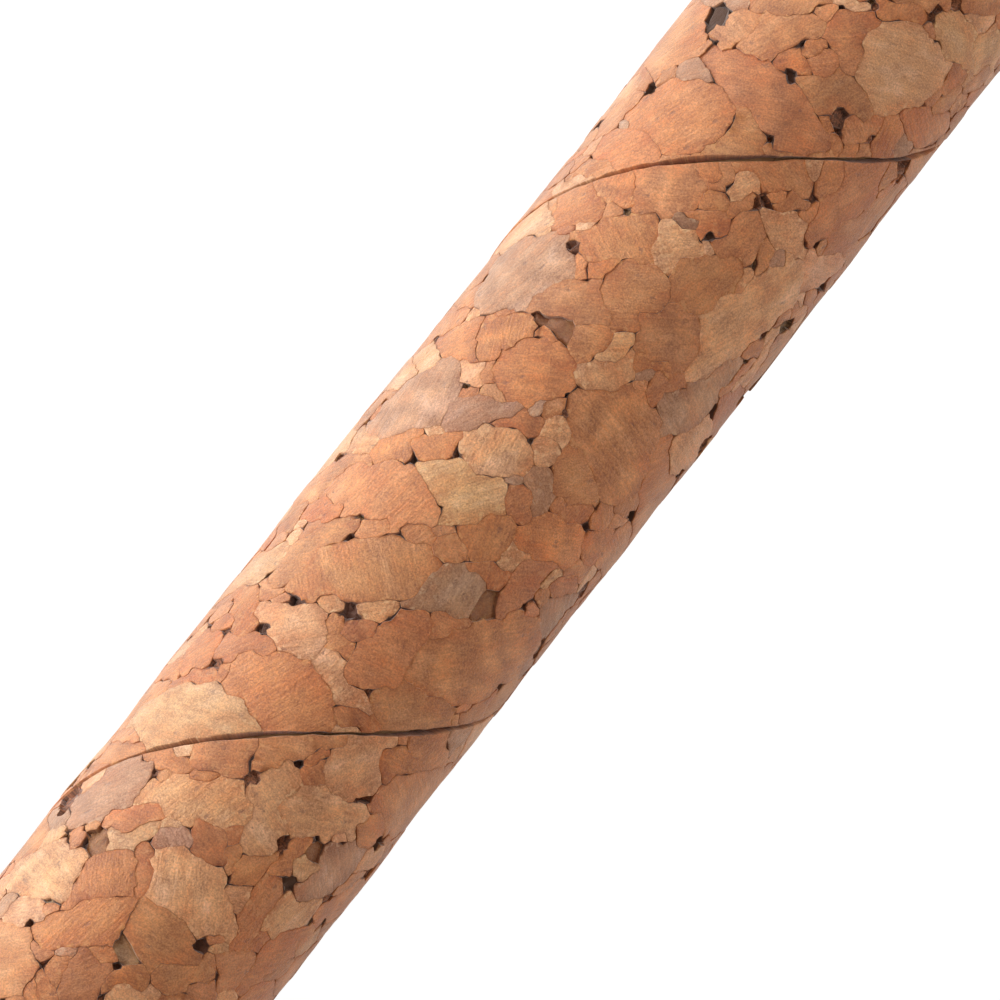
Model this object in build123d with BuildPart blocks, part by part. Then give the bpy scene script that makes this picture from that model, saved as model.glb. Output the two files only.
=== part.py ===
from build123d import *
from math import asin, cos, pi, radians, sin
import os

# A hand-held massage ball: a cork ball that rolls in a socket on a cork-wrapped handle.
# The handle axis is Z, the tool stands on its tail, and the origin is the middle of the foot.

# ---- driving dimensions, millimetres --------------------------------------------------------
grip_length = 200.0  # cork strip, end to end along the handle
core_dia = 22.0  # beech dowel
cork_thick = 1.4
strip_width = 49.1  # across the strip, square to its edges
seam_gap = 0.45  # between one turn of the strip and the next

ball_dia = 60.0
seat_wall = 1.7
cup_wall = 7.2  # wood at the rim, outside the bore for the seat
ring_thick = 5.0
ring_rise = 4.0  # underside of the retaining ring, above the ball's centre
wiper_thick = 2.0
wiper_lap = 1.2  # how far the wiper is clamped on the wood of the rim
ring_bevel = 1.2  # height of the bevel round the ring's upper edge
ring_bevel_in = 0.6  # and its width
shoulder_angle = 38.0  # degrees below the ball's middle where the cup's neck meets its round

knob_dia = 38.0
knob_height = 19.5
foot_dia = 30.0
foot_thick = 2.0
foot_recess = 1.5
foot_rim = 1.6  # wood left round the foot pad
foot_edge = 0.2
belly_rise = 7.8  # the knob's widest place, above its base

ferrule_wall = 1.35
ferrule_lap = 6.0  # how far a ferrule covers the end of the cork
ferrule_land = 4.0  # stretch of a ferrule that sits on the bare core
ferrule_edge = 0.5

screw_dia = 6.0
screw_length = 25.0
screw_head_dia = 10.0
screw_head_height = 4.0
screw_key = 4.0  # hexagon key, across flats
screw_key_depth = 2.2
screw_head_edge = 0.3
washer_dia = 14.0
washer_thick = 1.2
insert_dia = 9.0
insert_length = 14.0
flange_dia = 12.0
flange_thick = 1.0
floor_thick = 6.0  # wood clamped under each screw's washer
pin_dia = 3.0
pin_length = 14.0
pin_depth = 4.5  # how far a locating pin stands into the cup or the knob
pin_circle = 16.0
pin_edge = 0.3

seat_foot_dia = 32.0  # turned foot under the floating seat
seat_hole_dia = 20.0
seat_foot_inset = 0.5  # foot's face, above the lowest point that the seat's outside would reach
thrust_thick = 1.0

ring_screws_used = 6
ring_screw_dia = 2.5
ring_screw_head = 5.0
ring_screw_length = 12.0
ring_screw_shift = 0.3  # inwards from the middle of the wood outside the wiper
ring_screw_key = 1.5
ring_screw_key_depth = 0.9

# ---- named clearances, millimetres ----------------------------------------------------------
glue_line = 0.1  # between glued pieces
slip = 0.1  # between fixed round pieces that slide together
pin_fit = 0.05
cork_cover = 0.15  # between the cork and the ferrule over its end
thread_gap = 0.1  # room that a screw thread takes up
ball_gap = 0.3  # between the ball and the seat
ring_gap = 0.35  # between the ball and the retaining ring or the wiper
seat_gap = 0.3  # between the floating seat and the cup
thrust_gap = 0.1  # between the floating seat and its thrust washer
seat_top_gap = 0.4  # between the floating seat and the retaining ring
head_room = 0.8  # above a sunk screw head
bore_room = 0.5  # around a sunk washer
tip_room = 1.2  # past the tip of a screw

# ---- worked-out sizes -----------------------------------------------------------------------
core_r = core_dia / 2
cork_in_r = core_r + glue_line
grip_r = cork_in_r + cork_thick
seam_angle = asin((strip_width + seam_gap) / (2 * pi * grip_r))
strip_lead = (strip_width + seam_gap) / cos(seam_angle)
cover_r = grip_r + cork_cover
ferrule_r = cover_r + ferrule_wall

screw_r = screw_dia / 2
sunk_r = washer_dia / 2 + bore_room
sunk_depth = washer_thick + screw_head_height + head_room
pilot_depth = screw_length - washer_thick - floor_thick + tip_room

foot_r = foot_dia / 2
base_r = foot_r + slip + foot_rim
ball_r = ball_dia / 2
ring_bore_r = ball_r + ring_gap
seat_in_r = ball_r + ball_gap
seat_out_r = seat_in_r + seat_wall
cup_bore_r = seat_out_r + seat_gap
cup_r = cup_bore_r + cup_wall
wiper_r = cup_bore_r + wiper_lap
seat_foot_r = seat_foot_dia / 2
well_r = seat_foot_r + seat_gap
ring_screw_circle = (wiper_r + slip + cup_r) / 2 - ring_screw_shift

# ---- heights above the surface that the tool stands on --------------------------------------
knob_z = foot_thick - foot_recess
core_z = knob_z + knob_height
cork_z = core_z + ferrule_land
cork_top = cork_z + grip_length
core_top = cork_top + ferrule_land
tail_seat_z = core_z - floor_thick
head_seat_z = core_top + floor_thick
well_z = head_seat_z + sunk_depth
seat_foot_z = well_z + thrust_thick + thrust_gap
ball_z = seat_foot_z + seat_out_r - seat_foot_inset
rim_z = ball_z + ring_rise
seat_top_z = rim_z - seat_top_gap
ring_top = rim_z + ring_thick

os.makedirs("parts", exist_ok=True)


def save(part, name):
    part.label = name
    export_step(part, f"parts/{name}.step")


def facing_up(height):
    return Plane.XY.offset(height)


def facing_down(height):
    return Plane(origin=(0, 0, height), x_dir=(1, 0, 0), z_dir=(0, 0, -1))


# ---- foot pad: silicone disc in the base of the knob ----------------------------------------
with BuildPart() as foot_pad:
    with BuildSketch(Plane.XY):
        Circle(foot_r)
    extrude(amount=foot_thick)
    chamfer(foot_pad.edges().group_by(Axis.Z)[0], length=foot_edge)
save(foot_pad.part, "foot_pad")

# ---- tail knob: turned beech pommel with a flat base ----------------------------------------
knob_r = knob_dia / 2
with BuildPart() as tail_knob:
    with BuildSketch(Plane.XZ):
        with BuildLine():
            Polyline((ferrule_r, core_z), (0, core_z), (0, knob_z), (base_r, knob_z))
            Spline(
                (base_r, knob_z),
                (knob_r, knob_z + belly_rise),
                (ferrule_r, core_z),
                tangents=((1, 0.8), (0, 1), (-0.35, 1)),
            )
        make_face()
    revolve(axis=Axis.Z)
    with BuildSketch(facing_up(knob_z)):
        Circle(foot_r + slip)
    extrude(amount=foot_recess, mode=Mode.SUBTRACT)
    with BuildSketch(facing_up(foot_thick)):
        Circle(sunk_r)
    extrude(amount=tail_seat_z - foot_thick, mode=Mode.SUBTRACT)
    with BuildSketch(facing_up(tail_seat_z)):
        Circle(screw_r + slip)
    extrude(amount=floor_thick, mode=Mode.SUBTRACT)
    with BuildSketch(facing_down(core_z)):
        with PolarLocations(pin_circle / 2, 2):
            Circle(pin_dia / 2 + pin_fit)
    extrude(amount=pin_depth, mode=Mode.SUBTRACT)
save(tail_knob.part, "tail_knob")

# ---- handle core: beech dowel, bored at both ends for an insert and locating pins -----------
with BuildPart() as handle_core:
    with BuildSketch(facing_up(core_z)):
        Circle(core_r)
    extrude(amount=core_top - core_z)
    for end in (facing_up(core_z), facing_down(core_top)):
        with BuildSketch(end):
            Circle(flange_dia / 2 + glue_line)
        extrude(amount=flange_thick, mode=Mode.SUBTRACT)
        with BuildSketch(end):
            Circle(insert_dia / 2 + glue_line)
        extrude(amount=insert_length, mode=Mode.SUBTRACT)
        with BuildSketch(end):
            Circle(screw_r + thread_gap)
        extrude(amount=pilot_depth, mode=Mode.SUBTRACT)
        with BuildSketch(end):
            with PolarLocations(pin_circle / 2, 2):
                Circle(pin_dia / 2 + pin_fit)
        extrude(amount=pin_length - pin_depth, mode=Mode.SUBTRACT)
save(handle_core.part, "handle_core")

# ---- cork strip: one band wound along the core as a right-handed helix ----------------------
seam_run = strip_lead / 8  # the cut for the seam starts and ends clear of the cork
with BuildPart() as cork_strip:
    with BuildSketch(facing_up(cork_z)):
        Circle(grip_r)
        Circle(cork_in_r, mode=Mode.SUBTRACT)
    extrude(amount=grip_length)
    with BuildLine() as seam:
        Helix(
            pitch=strip_lead,
            height=grip_length + 2 * seam_run,
            radius=(grip_r + cork_in_r) / 2,
            center=(0, 0, cork_z - seam_run),
        )
    with BuildSketch(Plane(origin=seam.line @ 0, x_dir=(1, 0, 0), z_dir=seam.line % 0)):
        Rectangle(2 * cork_thick, seam_gap)
    sweep(path=seam.line, is_frenet=True, mode=Mode.SUBTRACT)
save(cork_strip.part, "cork_strip")


# ---- ferrules: turned aluminium collars over both ends of the cork --------------------------
def ferrule(end):
    with BuildPart() as collar:
        with BuildSketch(end):
            Circle(ferrule_r)
        extrude(amount=ferrule_land + ferrule_lap)
        with BuildSketch(end):
            Circle(core_r + slip)
        extrude(amount=ferrule_land + ferrule_lap, mode=Mode.SUBTRACT)
        with BuildSketch(end.offset(ferrule_land)):
            Circle(cover_r)
        extrude(amount=ferrule_lap, mode=Mode.SUBTRACT)
        far_edges = collar.edges().filter_by(GeomType.CIRCLE).filter_by(
            lambda edge: edge.radius > cover_r + ferrule_wall / 2
        )
        chamfer(far_edges, length=ferrule_edge)
    return collar.part


tail_ferrule = ferrule(facing_up(core_z))
save(tail_ferrule, "tail_ferrule")
head_ferrule = ferrule(facing_down(core_top))
save(head_ferrule, "head_ferrule")


# ---- threaded inserts: brass, glued into the ends of the core -------------------------------
def threaded_insert(end):
    with BuildPart() as insert:
        with BuildSketch(end):
            Circle(flange_dia / 2)
        extrude(amount=flange_thick)
        with BuildSketch(end):
            Circle(insert_dia / 2)
        extrude(amount=insert_length)
        with BuildSketch(end):
            Circle(screw_r + thread_gap)
        extrude(amount=insert_length, mode=Mode.SUBTRACT)
    return insert.part


tail_insert = threaded_insert(facing_up(core_z))
save(tail_insert, "tail_insert")
head_insert = threaded_insert(facing_down(core_top))
save(head_insert, "head_insert")


# ---- locating pins: two at each end stop the knob and the cup from turning ------------------
def locating_pins(end):
    with BuildPart() as pins:
        with BuildSketch(end.offset(-pin_depth)):
            with PolarLocations(pin_circle / 2, 2):
                Circle(pin_dia / 2)
        extrude(amount=pin_length)
        chamfer(pins.edges().filter_by(GeomType.CIRCLE), length=pin_edge)
    return pins.part


tail_pins = locating_pins(facing_up(core_z))
save(tail_pins, "tail_pins")
head_pins = locating_pins(facing_down(core_top))
save(head_pins, "head_pins")


# ---- cap screws and washers: they clamp the knob and the cup to the core --------------------
def washer(seat):
    with BuildPart() as disc:
        with BuildSketch(seat):
            Circle(washer_dia / 2)
            Circle(screw_r + slip, mode=Mode.SUBTRACT)
        extrude(amount=washer_thick)
    return disc.part


def cap_screw(under_head):
    with BuildPart() as screw:
        with BuildSketch(under_head):
            Circle(screw_head_dia / 2)
        extrude(amount=screw_head_height)
        chamfer(screw.edges().filter_by(GeomType.CIRCLE), length=screw_head_edge)
        with BuildSketch(under_head):
            Circle(screw_r)
        extrude(amount=-screw_length)
        with BuildSketch(under_head.offset(screw_head_height)):
            RegularPolygon(radius=screw_key / 2, side_count=6, major_radius=False)
        extrude(amount=-screw_key_depth, mode=Mode.SUBTRACT)
    return screw.part


tail_washer = washer(facing_down(tail_seat_z))
save(tail_washer, "tail_washer")
tail_screw = cap_screw(facing_down(tail_seat_z - washer_thick))
save(tail_screw, "tail_screw")
head_washer = washer(facing_up(head_seat_z))
save(head_washer, "head_washer")
head_screw = cap_screw(facing_up(head_seat_z + washer_thick))
save(head_screw, "head_screw")

# ---- socket cup: turned beech, a round bowl on a neck as wide as the ferrule ----------------
shoulder = radians(shoulder_angle)
shoulder_r = cup_r * cos(shoulder)
shoulder_z = ball_z - cup_r * sin(shoulder)
with BuildPart() as socket_cup:
    with BuildSketch(Plane.XZ):
        with BuildLine():
            Spline(
                (ferrule_r, core_top),
                (shoulder_r, shoulder_z),
                tangents=((0.1, 1), (sin(shoulder), cos(shoulder))),
            )
            RadiusArc((shoulder_r, shoulder_z), (cup_r, ball_z), -cup_r)
            Polyline(
                (cup_r, ball_z),
                (cup_r, rim_z),
                (0, rim_z),
                (0, core_top),
                (ferrule_r, core_top),
            )
        make_face()
    revolve(axis=Axis.Z)
    with BuildSketch(Plane.XZ):
        with BuildLine():
            RadiusArc((0, ball_z - cup_bore_r), (cup_bore_r, ball_z), -cup_bore_r)
            Polyline(
                (cup_bore_r, ball_z),
                (cup_bore_r, rim_z),
                (0, rim_z),
                (0, ball_z - cup_bore_r),
            )
        make_face()
    revolve(axis=Axis.Z, mode=Mode.SUBTRACT)
    with BuildSketch(facing_up(well_z)):
        Circle(well_r)
    extrude(amount=ball_z - well_z, mode=Mode.SUBTRACT)
    with BuildSketch(facing_up(head_seat_z)):
        Circle(sunk_r)
    extrude(amount=sunk_depth, mode=Mode.SUBTRACT)
    with BuildSketch(facing_up(core_top)):
        Circle(screw_r + slip)
    extrude(amount=floor_thick, mode=Mode.SUBTRACT)
    with BuildSketch(facing_up(core_top)):
        with PolarLocations(pin_circle / 2, 2):
            Circle(pin_dia / 2 + pin_fit)
    extrude(amount=pin_depth, mode=Mode.SUBTRACT)
    with BuildSketch(facing_down(rim_z)):
        with PolarLocations(ring_screw_circle, ring_screws_used):
            Circle(ring_screw_dia / 2 + thread_gap)
    extrude(amount=ring_screw_length - ring_thick + tip_room, mode=Mode.SUBTRACT)
save(socket_cup.part, "socket_cup")

# ---- thrust washer: low-friction disc in the well under the floating seat -------------------
with BuildPart() as thrust_washer:
    with BuildSketch(facing_up(well_z)):
        Circle(well_r - slip)
        Circle(seat_hole_dia / 2, mode=Mode.SUBTRACT)
    extrude(amount=thrust_thick)
save(thrust_washer.part, "thrust_washer")

# ---- ball seat: a thin bowl of slippery plastic that floats in the cup ----------------------
with BuildPart() as ball_seat:
    with BuildSketch(Plane.XZ):
        with BuildLine():
            RadiusArc((0, ball_z - seat_out_r), (seat_out_r, ball_z), -seat_out_r)
            Polyline(
                (seat_out_r, ball_z),
                (seat_out_r, seat_top_z),
                (0, seat_top_z),
                (0, ball_z - seat_out_r),
            )
        make_face()
    revolve(axis=Axis.Z)
    with BuildSketch(facing_up(seat_foot_z)):
        Circle(seat_foot_r)
    extrude(amount=ball_z - seat_foot_z)
    with BuildSketch(Plane.XZ):
        with BuildLine():
            RadiusArc((0, ball_z - seat_in_r), (seat_in_r, ball_z), -seat_in_r)
            Polyline(
                (seat_in_r, ball_z),
                (seat_in_r, seat_top_z),
                (0, seat_top_z),
                (0, ball_z - seat_in_r),
            )
        make_face()
    revolve(axis=Axis.Z, mode=Mode.SUBTRACT)
    with BuildSketch(facing_up(well_z)):
        Circle(seat_hole_dia / 2)
    extrude(amount=ball_z - well_z, mode=Mode.SUBTRACT)
    with BuildSketch(facing_down(seat_foot_z)):
        Rectangle(2 * cup_r, 2 * cup_r)
    extrude(amount=seat_out_r, mode=Mode.SUBTRACT)
save(ball_seat.part, "ball_seat")

# ---- massage ball: solid cork ---------------------------------------------------------------
with BuildPart() as massage_ball:
    with BuildSketch(Plane.XZ):
        with BuildLine():
            CenterArc((0, ball_z), ball_r, -90, 180)
            Line((0, ball_z + ball_r), (0, ball_z - ball_r))
        make_face()
    revolve(axis=Axis.Z)
save(massage_ball.part, "massage_ball")

# ---- wiper ring: silicone, clamped under the retaining ring ---------------------------------
with BuildPart() as wiper_ring:
    with BuildSketch(facing_up(rim_z)):
        Circle(wiper_r)
    extrude(amount=wiper_thick)
    with BuildSketch(Plane.XZ):
        with BuildLine():
            CenterArc((0, ball_z), ring_bore_r, -90, 180)
            Line((0, ball_z + ring_bore_r), (0, ball_z - ring_bore_r))
        make_face()
    revolve(axis=Axis.Z, mode=Mode.SUBTRACT)
save(wiper_ring.part, "wiper_ring")

# ---- retaining ring: turned aluminium, its bore closes round the ball -----------------------
with BuildPart() as retaining_ring:
    with BuildSketch(facing_up(rim_z)):
        Circle(cup_r)
    extrude(amount=ring_thick)
    chamfer(retaining_ring.edges().group_by(Axis.Z)[-1], length=ring_bevel, length2=ring_bevel_in)
    with BuildSketch(Plane.XZ):
        with BuildLine():
            CenterArc((0, ball_z), ring_bore_r, -90, 180)
            Line((0, ball_z + ring_bore_r), (0, ball_z - ring_bore_r))
        make_face()
    revolve(axis=Axis.Z, mode=Mode.SUBTRACT)
    with BuildSketch(facing_up(rim_z)):
        Circle(wiper_r + slip)
    extrude(amount=wiper_thick, mode=Mode.SUBTRACT)
    with Locations(facing_up(ring_top)):
        with PolarLocations(ring_screw_circle, ring_screws_used):
            CounterSinkHole(
                radius=ring_screw_dia / 2 + slip,
                counter_sink_radius=ring_screw_head / 2 + slip,
                depth=ring_thick,
                counter_sink_angle=90,
            )
save(retaining_ring.part, "retaining_ring")

# ---- ring screws: countersunk, they hold the retaining ring on the cup ----------------------
cone_height = (ring_screw_head - ring_screw_dia) / 2
with BuildPart() as ring_screws:
    with BuildSketch(facing_down(ring_top)):
        with PolarLocations(ring_screw_circle, ring_screws_used):
            Circle(ring_screw_dia / 2)
    extrude(amount=ring_screw_length)
    with BuildSketch(facing_down(ring_top)):
        with PolarLocations(ring_screw_circle, ring_screws_used):
            Circle(ring_screw_head / 2)
    extrude(amount=cone_height, taper=45)
    with BuildSketch(facing_down(ring_top)):
        with PolarLocations(ring_screw_circle, ring_screws_used):
            RegularPolygon(radius=ring_screw_key / 2, side_count=6, major_radius=False)
    extrude(amount=ring_screw_key_depth, mode=Mode.SUBTRACT)
save(ring_screws.part, "ring_screws")
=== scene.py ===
"""The looks of a hand-held massage ball with a cork-wrapped handle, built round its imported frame."""

import math

import bmesh
import bpy
import numpy as np
from mathutils import Matrix, Vector
from mathutils.geometry import delaunay_2d_cdt


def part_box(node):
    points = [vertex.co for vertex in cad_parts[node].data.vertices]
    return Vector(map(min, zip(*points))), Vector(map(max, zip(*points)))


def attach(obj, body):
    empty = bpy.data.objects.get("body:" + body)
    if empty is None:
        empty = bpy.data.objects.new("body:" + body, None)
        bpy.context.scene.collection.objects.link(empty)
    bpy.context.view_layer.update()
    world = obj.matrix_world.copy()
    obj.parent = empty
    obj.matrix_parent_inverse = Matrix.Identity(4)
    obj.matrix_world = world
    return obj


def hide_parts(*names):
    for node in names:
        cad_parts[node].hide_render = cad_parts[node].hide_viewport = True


bl_info = {
    "name": "Cork massage ball",
    "version": (1, 0, 0),
    "blender": (4, 5, 0),
    "location": "View3D > Sidebar > Massage ball",
    "description": "Builds a hand-held cork massage ball, piece by piece, and its studio",
    "category": "Add Mesh",
}

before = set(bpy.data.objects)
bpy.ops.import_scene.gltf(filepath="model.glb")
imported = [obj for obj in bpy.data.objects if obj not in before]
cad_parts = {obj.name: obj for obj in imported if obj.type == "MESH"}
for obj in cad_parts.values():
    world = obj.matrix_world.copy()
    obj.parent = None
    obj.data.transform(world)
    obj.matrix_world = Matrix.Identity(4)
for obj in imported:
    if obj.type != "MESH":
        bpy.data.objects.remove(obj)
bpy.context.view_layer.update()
MM = 0.001  # lengths inside the cork engine are millimetres; meshes are metres

# ---- sizes read from the frame ---------------------------------------------------------------
strip_low, strip_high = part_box("cork_strip")
ball_low, ball_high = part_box("massage_ball")
GRIP_R = strip_high.x / MM
CORK_IN_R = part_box("handle_core")[1].x / MM + 0.1
STRIP_Z = strip_low.z / MM
STRIP_TOP = strip_high.z / MM
GRIP_MID_Z = (STRIP_Z + STRIP_TOP) / 2
BALL_R = (ball_high.z - ball_low.z) / 2 / MM
BALL_Z = (ball_high.z + ball_low.z) / 2 / MM
STRIP_START = 0.125  # how far round the handle from X the strip's lower edge starts, in turns
SEAM_HEIGHT = 28.6  # from the grip's middle up to the seam on the side that the camera sees


# ================================ cork: granules as real geometry ================================
def winding(pitch):
    """The angle that the strip's edges make with a circle round the handle, and its rise for each turn."""
    angle = math.asin(pitch / (2 * math.pi * GRIP_R))
    return angle, pitch / math.cos(angle)


def wave_noise(rng, scale, count=12):
    """A smooth random field: a function of points in millimetres, with a mean of 0 and a spread of 1."""
    direction = rng.normal(size=(count, 3))
    direction /= np.linalg.norm(direction, axis=1)[:, None]
    wave = direction * (2 * math.pi / scale * rng.uniform(0.6, 1.7, count))[:, None]
    phase = rng.uniform(0, 2 * math.pi, count)

    def field(points):
        return np.sin(points @ wave.T + phase).sum(1) / math.sqrt(count / 2)

    return field


class WoundStrip:
    """The cork strip laid flat: x runs along the strip, y across it, and a depth goes towards the core."""

    def __init__(self, rng, cell, pitch, gap):
        angle, lead = winding(pitch)
        self.pitch, self.gap = pitch, gap
        self.cos, self.sin = math.cos(angle), math.sin(angle)
        self.start_z = STRIP_Z - lead * STRIP_START
        self.edge_wave = wave_noise(rng, 9.0)
        self.edge_chip = wave_noise(rng, 2.2)
        low_z, high_z = STRIP_Z + 0.3, STRIP_TOP - 0.3
        self.low, self.high = low_z - self.start_z, high_z - self.start_z
        near = (self.low - pitch * self.cos) / self.sin
        far = self.high / self.sin
        rows = int(pitch / (cell * math.sqrt(3) / 2)) + 3
        columns = int((far - near) / cell) + 4
        row, column = np.meshgrid(np.arange(rows), np.arange(columns), indexing="ij")
        x = near - 2 * cell + (column + 0.5 * (row % 2)) * cell
        y = (row - 1) * cell * math.sqrt(3) / 2
        self.cells = np.stack([x, y, 0 * x], -1).reshape(-1, 3)
        index = row * columns + column
        here, right = index[:-1, :-1], index[:-1, 1:]
        up, up_right = index[1:, :-1], index[1:, 1:]
        even = (row[:-1, :-1] % 2 == 0)[..., None]
        first = np.where(even, np.stack([here, right, up], -1), np.stack([here, right, up_right], -1))
        second = np.where(even, np.stack([right, up_right, up], -1), np.stack([here, up_right, up], -1))
        self.triangles = np.concatenate([first.reshape(-1, 3), second.reshape(-1, 3)])
        height = self.height(self.cells)
        across = self.cells[:, 1]
        self.inside = (across > 0) & (across < pitch) & (height > self.low) & (height < self.high)
        self.inside &= (row.ravel() > 0) & (row.ravel() < rows - 1)

    def height(self, points):
        """How high points come to lie over the strip's start once it is wound."""
        return points[:, 0] * self.sin + points[:, 1] * self.cos

    def snap(self, points):
        """Moves points on the strip's two long edges onto them, a little wavy; the hidden ends stay rough."""
        t, h = points[:, 1], self.height(points)
        wave = 0.07 * self.edge_wave(points) + 0.05 * self.edge_chip(points)
        margin = self.gap / 2 + np.clip(wave, -0.12, 0.1)
        middle = (h > self.low + 1.2) & (h < self.high - 1.2)
        out = points.copy()
        first = middle & (t < 1.0)
        last = middle & (t > self.pitch - 1.0)
        out[first, 1] = margin[first]
        out[last, 1] = self.pitch - margin[last]
        return out

    def up(self, points):
        """The way out of the cork at each point."""
        return np.tile([0.0, 0.0, 1.0], (len(points), 1))

    def settle(self, points):
        """Points brought back onto the surface; flat ones never leave it."""
        return points

    def flatten(self, centre, points):
        """Flat places of points round a centre."""
        return points[:, :2] - centre[:2]

    def lift(self, centre, flat):
        """The reverse of flatten."""
        return np.concatenate([flat + centre[:2], np.zeros((len(flat), 1))], 1)

    def unrolled(self, centres, points):
        """Each point's flat place from its own granule's middle, for the grain."""
        return points[:, :2] - centres[:, :2]

    def place(self, points, depth):
        """Strip coordinates and depths to places on the handle, in metres."""
        around = (points[:, 0] * self.cos - points[:, 1] * self.sin) / GRIP_R
        radius = GRIP_R - depth
        z = self.start_z + self.height(points)
        return np.stack([radius * np.cos(around), radius * np.sin(around), z], 1) * MM


class CorkSphere:
    """The massage ball: points are places on a sphere round the origin, and a depth goes inwards."""

    def __init__(self, steps):
        ball = bmesh.new()
        bmesh.ops.create_icosphere(ball, subdivisions=steps, radius=BALL_R)
        self.cells = np.array([v.co[:] for v in ball.verts])
        self.triangles = np.array([[v.index for v in f.verts] for f in ball.faces])
        ball.free()
        a, b, c = (self.cells[self.triangles[:, k]] for k in range(3))
        inward = np.einsum("ij,ij->i", np.cross(b - a, c - a), a) < 0
        self.triangles[inward] = self.triangles[inward][:, ::-1]
        self.inside = np.ones(len(self.cells), bool)

    def snap(self, points):
        return points

    def up(self, points):
        return points / np.linalg.norm(points, axis=1)[:, None]

    def settle(self, points):
        return self.up(points) * BALL_R

    def axes(self, centre):
        """The outward direction at a centre and two directions along the surface."""
        normal = centre / np.linalg.norm(centre)
        side = np.cross([0.0, 0.0, 1.0] if abs(normal[2]) < 0.9 else [1.0, 0.0, 0.0], normal)
        side /= np.linalg.norm(side)
        return normal, side, np.cross(normal, side)

    def flatten(self, centre, points):
        normal, side, other = self.axes(centre)
        height = points @ normal
        return np.stack([points @ side, points @ other], 1) * (BALL_R / height)[:, None]

    def lift(self, centre, flat):
        normal, side, other = self.axes(centre)
        return self.settle(flat[:, :1] * side + flat[:, 1:] * other + BALL_R * normal)

    def unrolled(self, centres, points):
        """Each point's place on the plane that touches the sphere at its own granule's middle."""
        normal = self.up(centres)
        pole = np.where(np.abs(normal[:, 2:]) < 0.9, [0.0, 0.0, 1.0], [1.0, 0.0, 0.0])
        side = np.cross(pole, normal)
        side /= np.linalg.norm(side, axis=1)[:, None]
        other = np.cross(normal, side)
        return np.stack([np.einsum("ij,ij->i", points, side), np.einsum("ij,ij->i", points, other)], 1)

    def place(self, points, depth):
        return (self.up(points) * (BALL_R - depth)[:, None] + [0, 0, BALL_Z]) * MM


SOWING_TRIES = 24  # places tried for a granule before it is left out


def sow(rng, surface, mix, along, stretched):
    """Chooses granules: their middles, radii, long directions and how long they are for their width."""
    ground = surface.cells[surface.inside]
    middles = np.empty((0, 3))
    radii, longs, stretches = [], [], []
    for radius_low, radius_high, count, room in mix:  # largest granules first, so that small ones fill in
        for radius in -np.sort(-rng.uniform(radius_low, radius_high, count)):
            for spot in ground[rng.integers(0, len(ground), SOWING_TRIES)]:
                gap = np.linalg.norm(middles - spot, axis=1) / (np.array(radii) + radius) if radii else [9]
                if np.min(gap) > room:
                    break
            else:
                continue
            up = surface.up(spot[None])[0]
            turn = rng.normal(0, along)
            side = np.cross(up, [0, 0, 1.0] if abs(up[2]) < 0.7 else [0, 1.0, 0])
            side /= np.linalg.norm(side)
            if isinstance(surface, WoundStrip):
                side = np.array([1.0, 0, 0])
            else:
                turn = rng.uniform(0, math.pi)
            middles = np.concatenate([middles, spot[None]])
            radii.append(radius)
            longs.append(side * math.cos(turn) + np.cross(up, side) * math.sin(turn))
            stretches.append(rng.uniform(*stretched))
    return middles, np.array(radii), np.array(longs), np.array(stretches)


def nearest_granule(points, granules):
    """The granule that each point belongs to: the nearest for its size, measured along its long side."""
    middles, radii, longs, stretches = granules
    owner = np.empty(len(points), int)
    for start in range(0, len(points), 3000):
        step = points[start : start + 3000, None, :] - middles[None]
        along = np.einsum("pgk,gk->pg", step, longs)
        square = np.einsum("pgk,pgk->pg", step, step) * stretches
        square -= along**2 * (stretches - 1 / stretches)
        owner[start : start + 3000] = (square - 1.15 * radii**2).argmin(1)
    return owner


def mesh_edges(triangles):
    """Every edge of the cell triangles once, as two cell numbers."""
    edges = np.concatenate([triangles[:, [0, 1]], triangles[:, [1, 2]], triangles[:, [2, 0]]])
    return np.unique(np.sort(edges, 1), axis=0)


def connected(owner, edges, kept=None):
    """Splits granules that came apart, and joins single cells and enclosed granules to a neighbour.

    A single cell stays where kept marks it.
    """
    for _ in range(3):
        patch = np.arange(len(owner))
        same = edges[owner[edges[:, 0]] == owner[edges[:, 1]]]
        while True:
            low = patch.copy()
            np.minimum.at(low, same[:, 0], patch[same[:, 1]])
            np.minimum.at(low, same[:, 1], patch[same[:, 0]])
            low = low[low]
            if (low == patch).all():
                break
            patch = low
        patch[owner < 0] = -1
        size = np.bincount(patch[patch >= 0], minlength=len(owner))
        other = edges[patch[edges[:, 0]] != patch[edges[:, 1]]]
        other = np.concatenate([other, other[:, ::-1]])
        order = np.lexsort((patch[other[:, 1]], patch[other[:, 0]]))
        pairs = np.stack([patch[other[:, 0]], patch[other[:, 1]]], 1)[order]
        unique, count = np.unique(pairs, axis=0, return_counts=True)
        merged = {}
        firsts = np.unique(unique[:, 0])
        for name in firsts[firsts >= 0]:
            rows = unique[:, 0] == name
            alone = size[name] == 1 and (kept is None or not kept[name])
            if alone or rows.sum() == 1:
                best = unique[rows][count[rows].argmax(), 1]
                if best >= 0 and best not in merged:
                    merged[name] = best
        if not merged:
            break
        for name, target in merged.items():
            patch[patch == name] = target
        owner = patch
    return owner


def doubled_area(a, b, c):
    """Twice the area of flat triangles, below 0 where they are the wrong way up."""
    return (b[:, 0] - a[:, 0]) * (c[:, 1] - a[:, 1]) - (b[:, 1] - a[:, 1]) * (c[:, 0] - a[:, 0])


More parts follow.
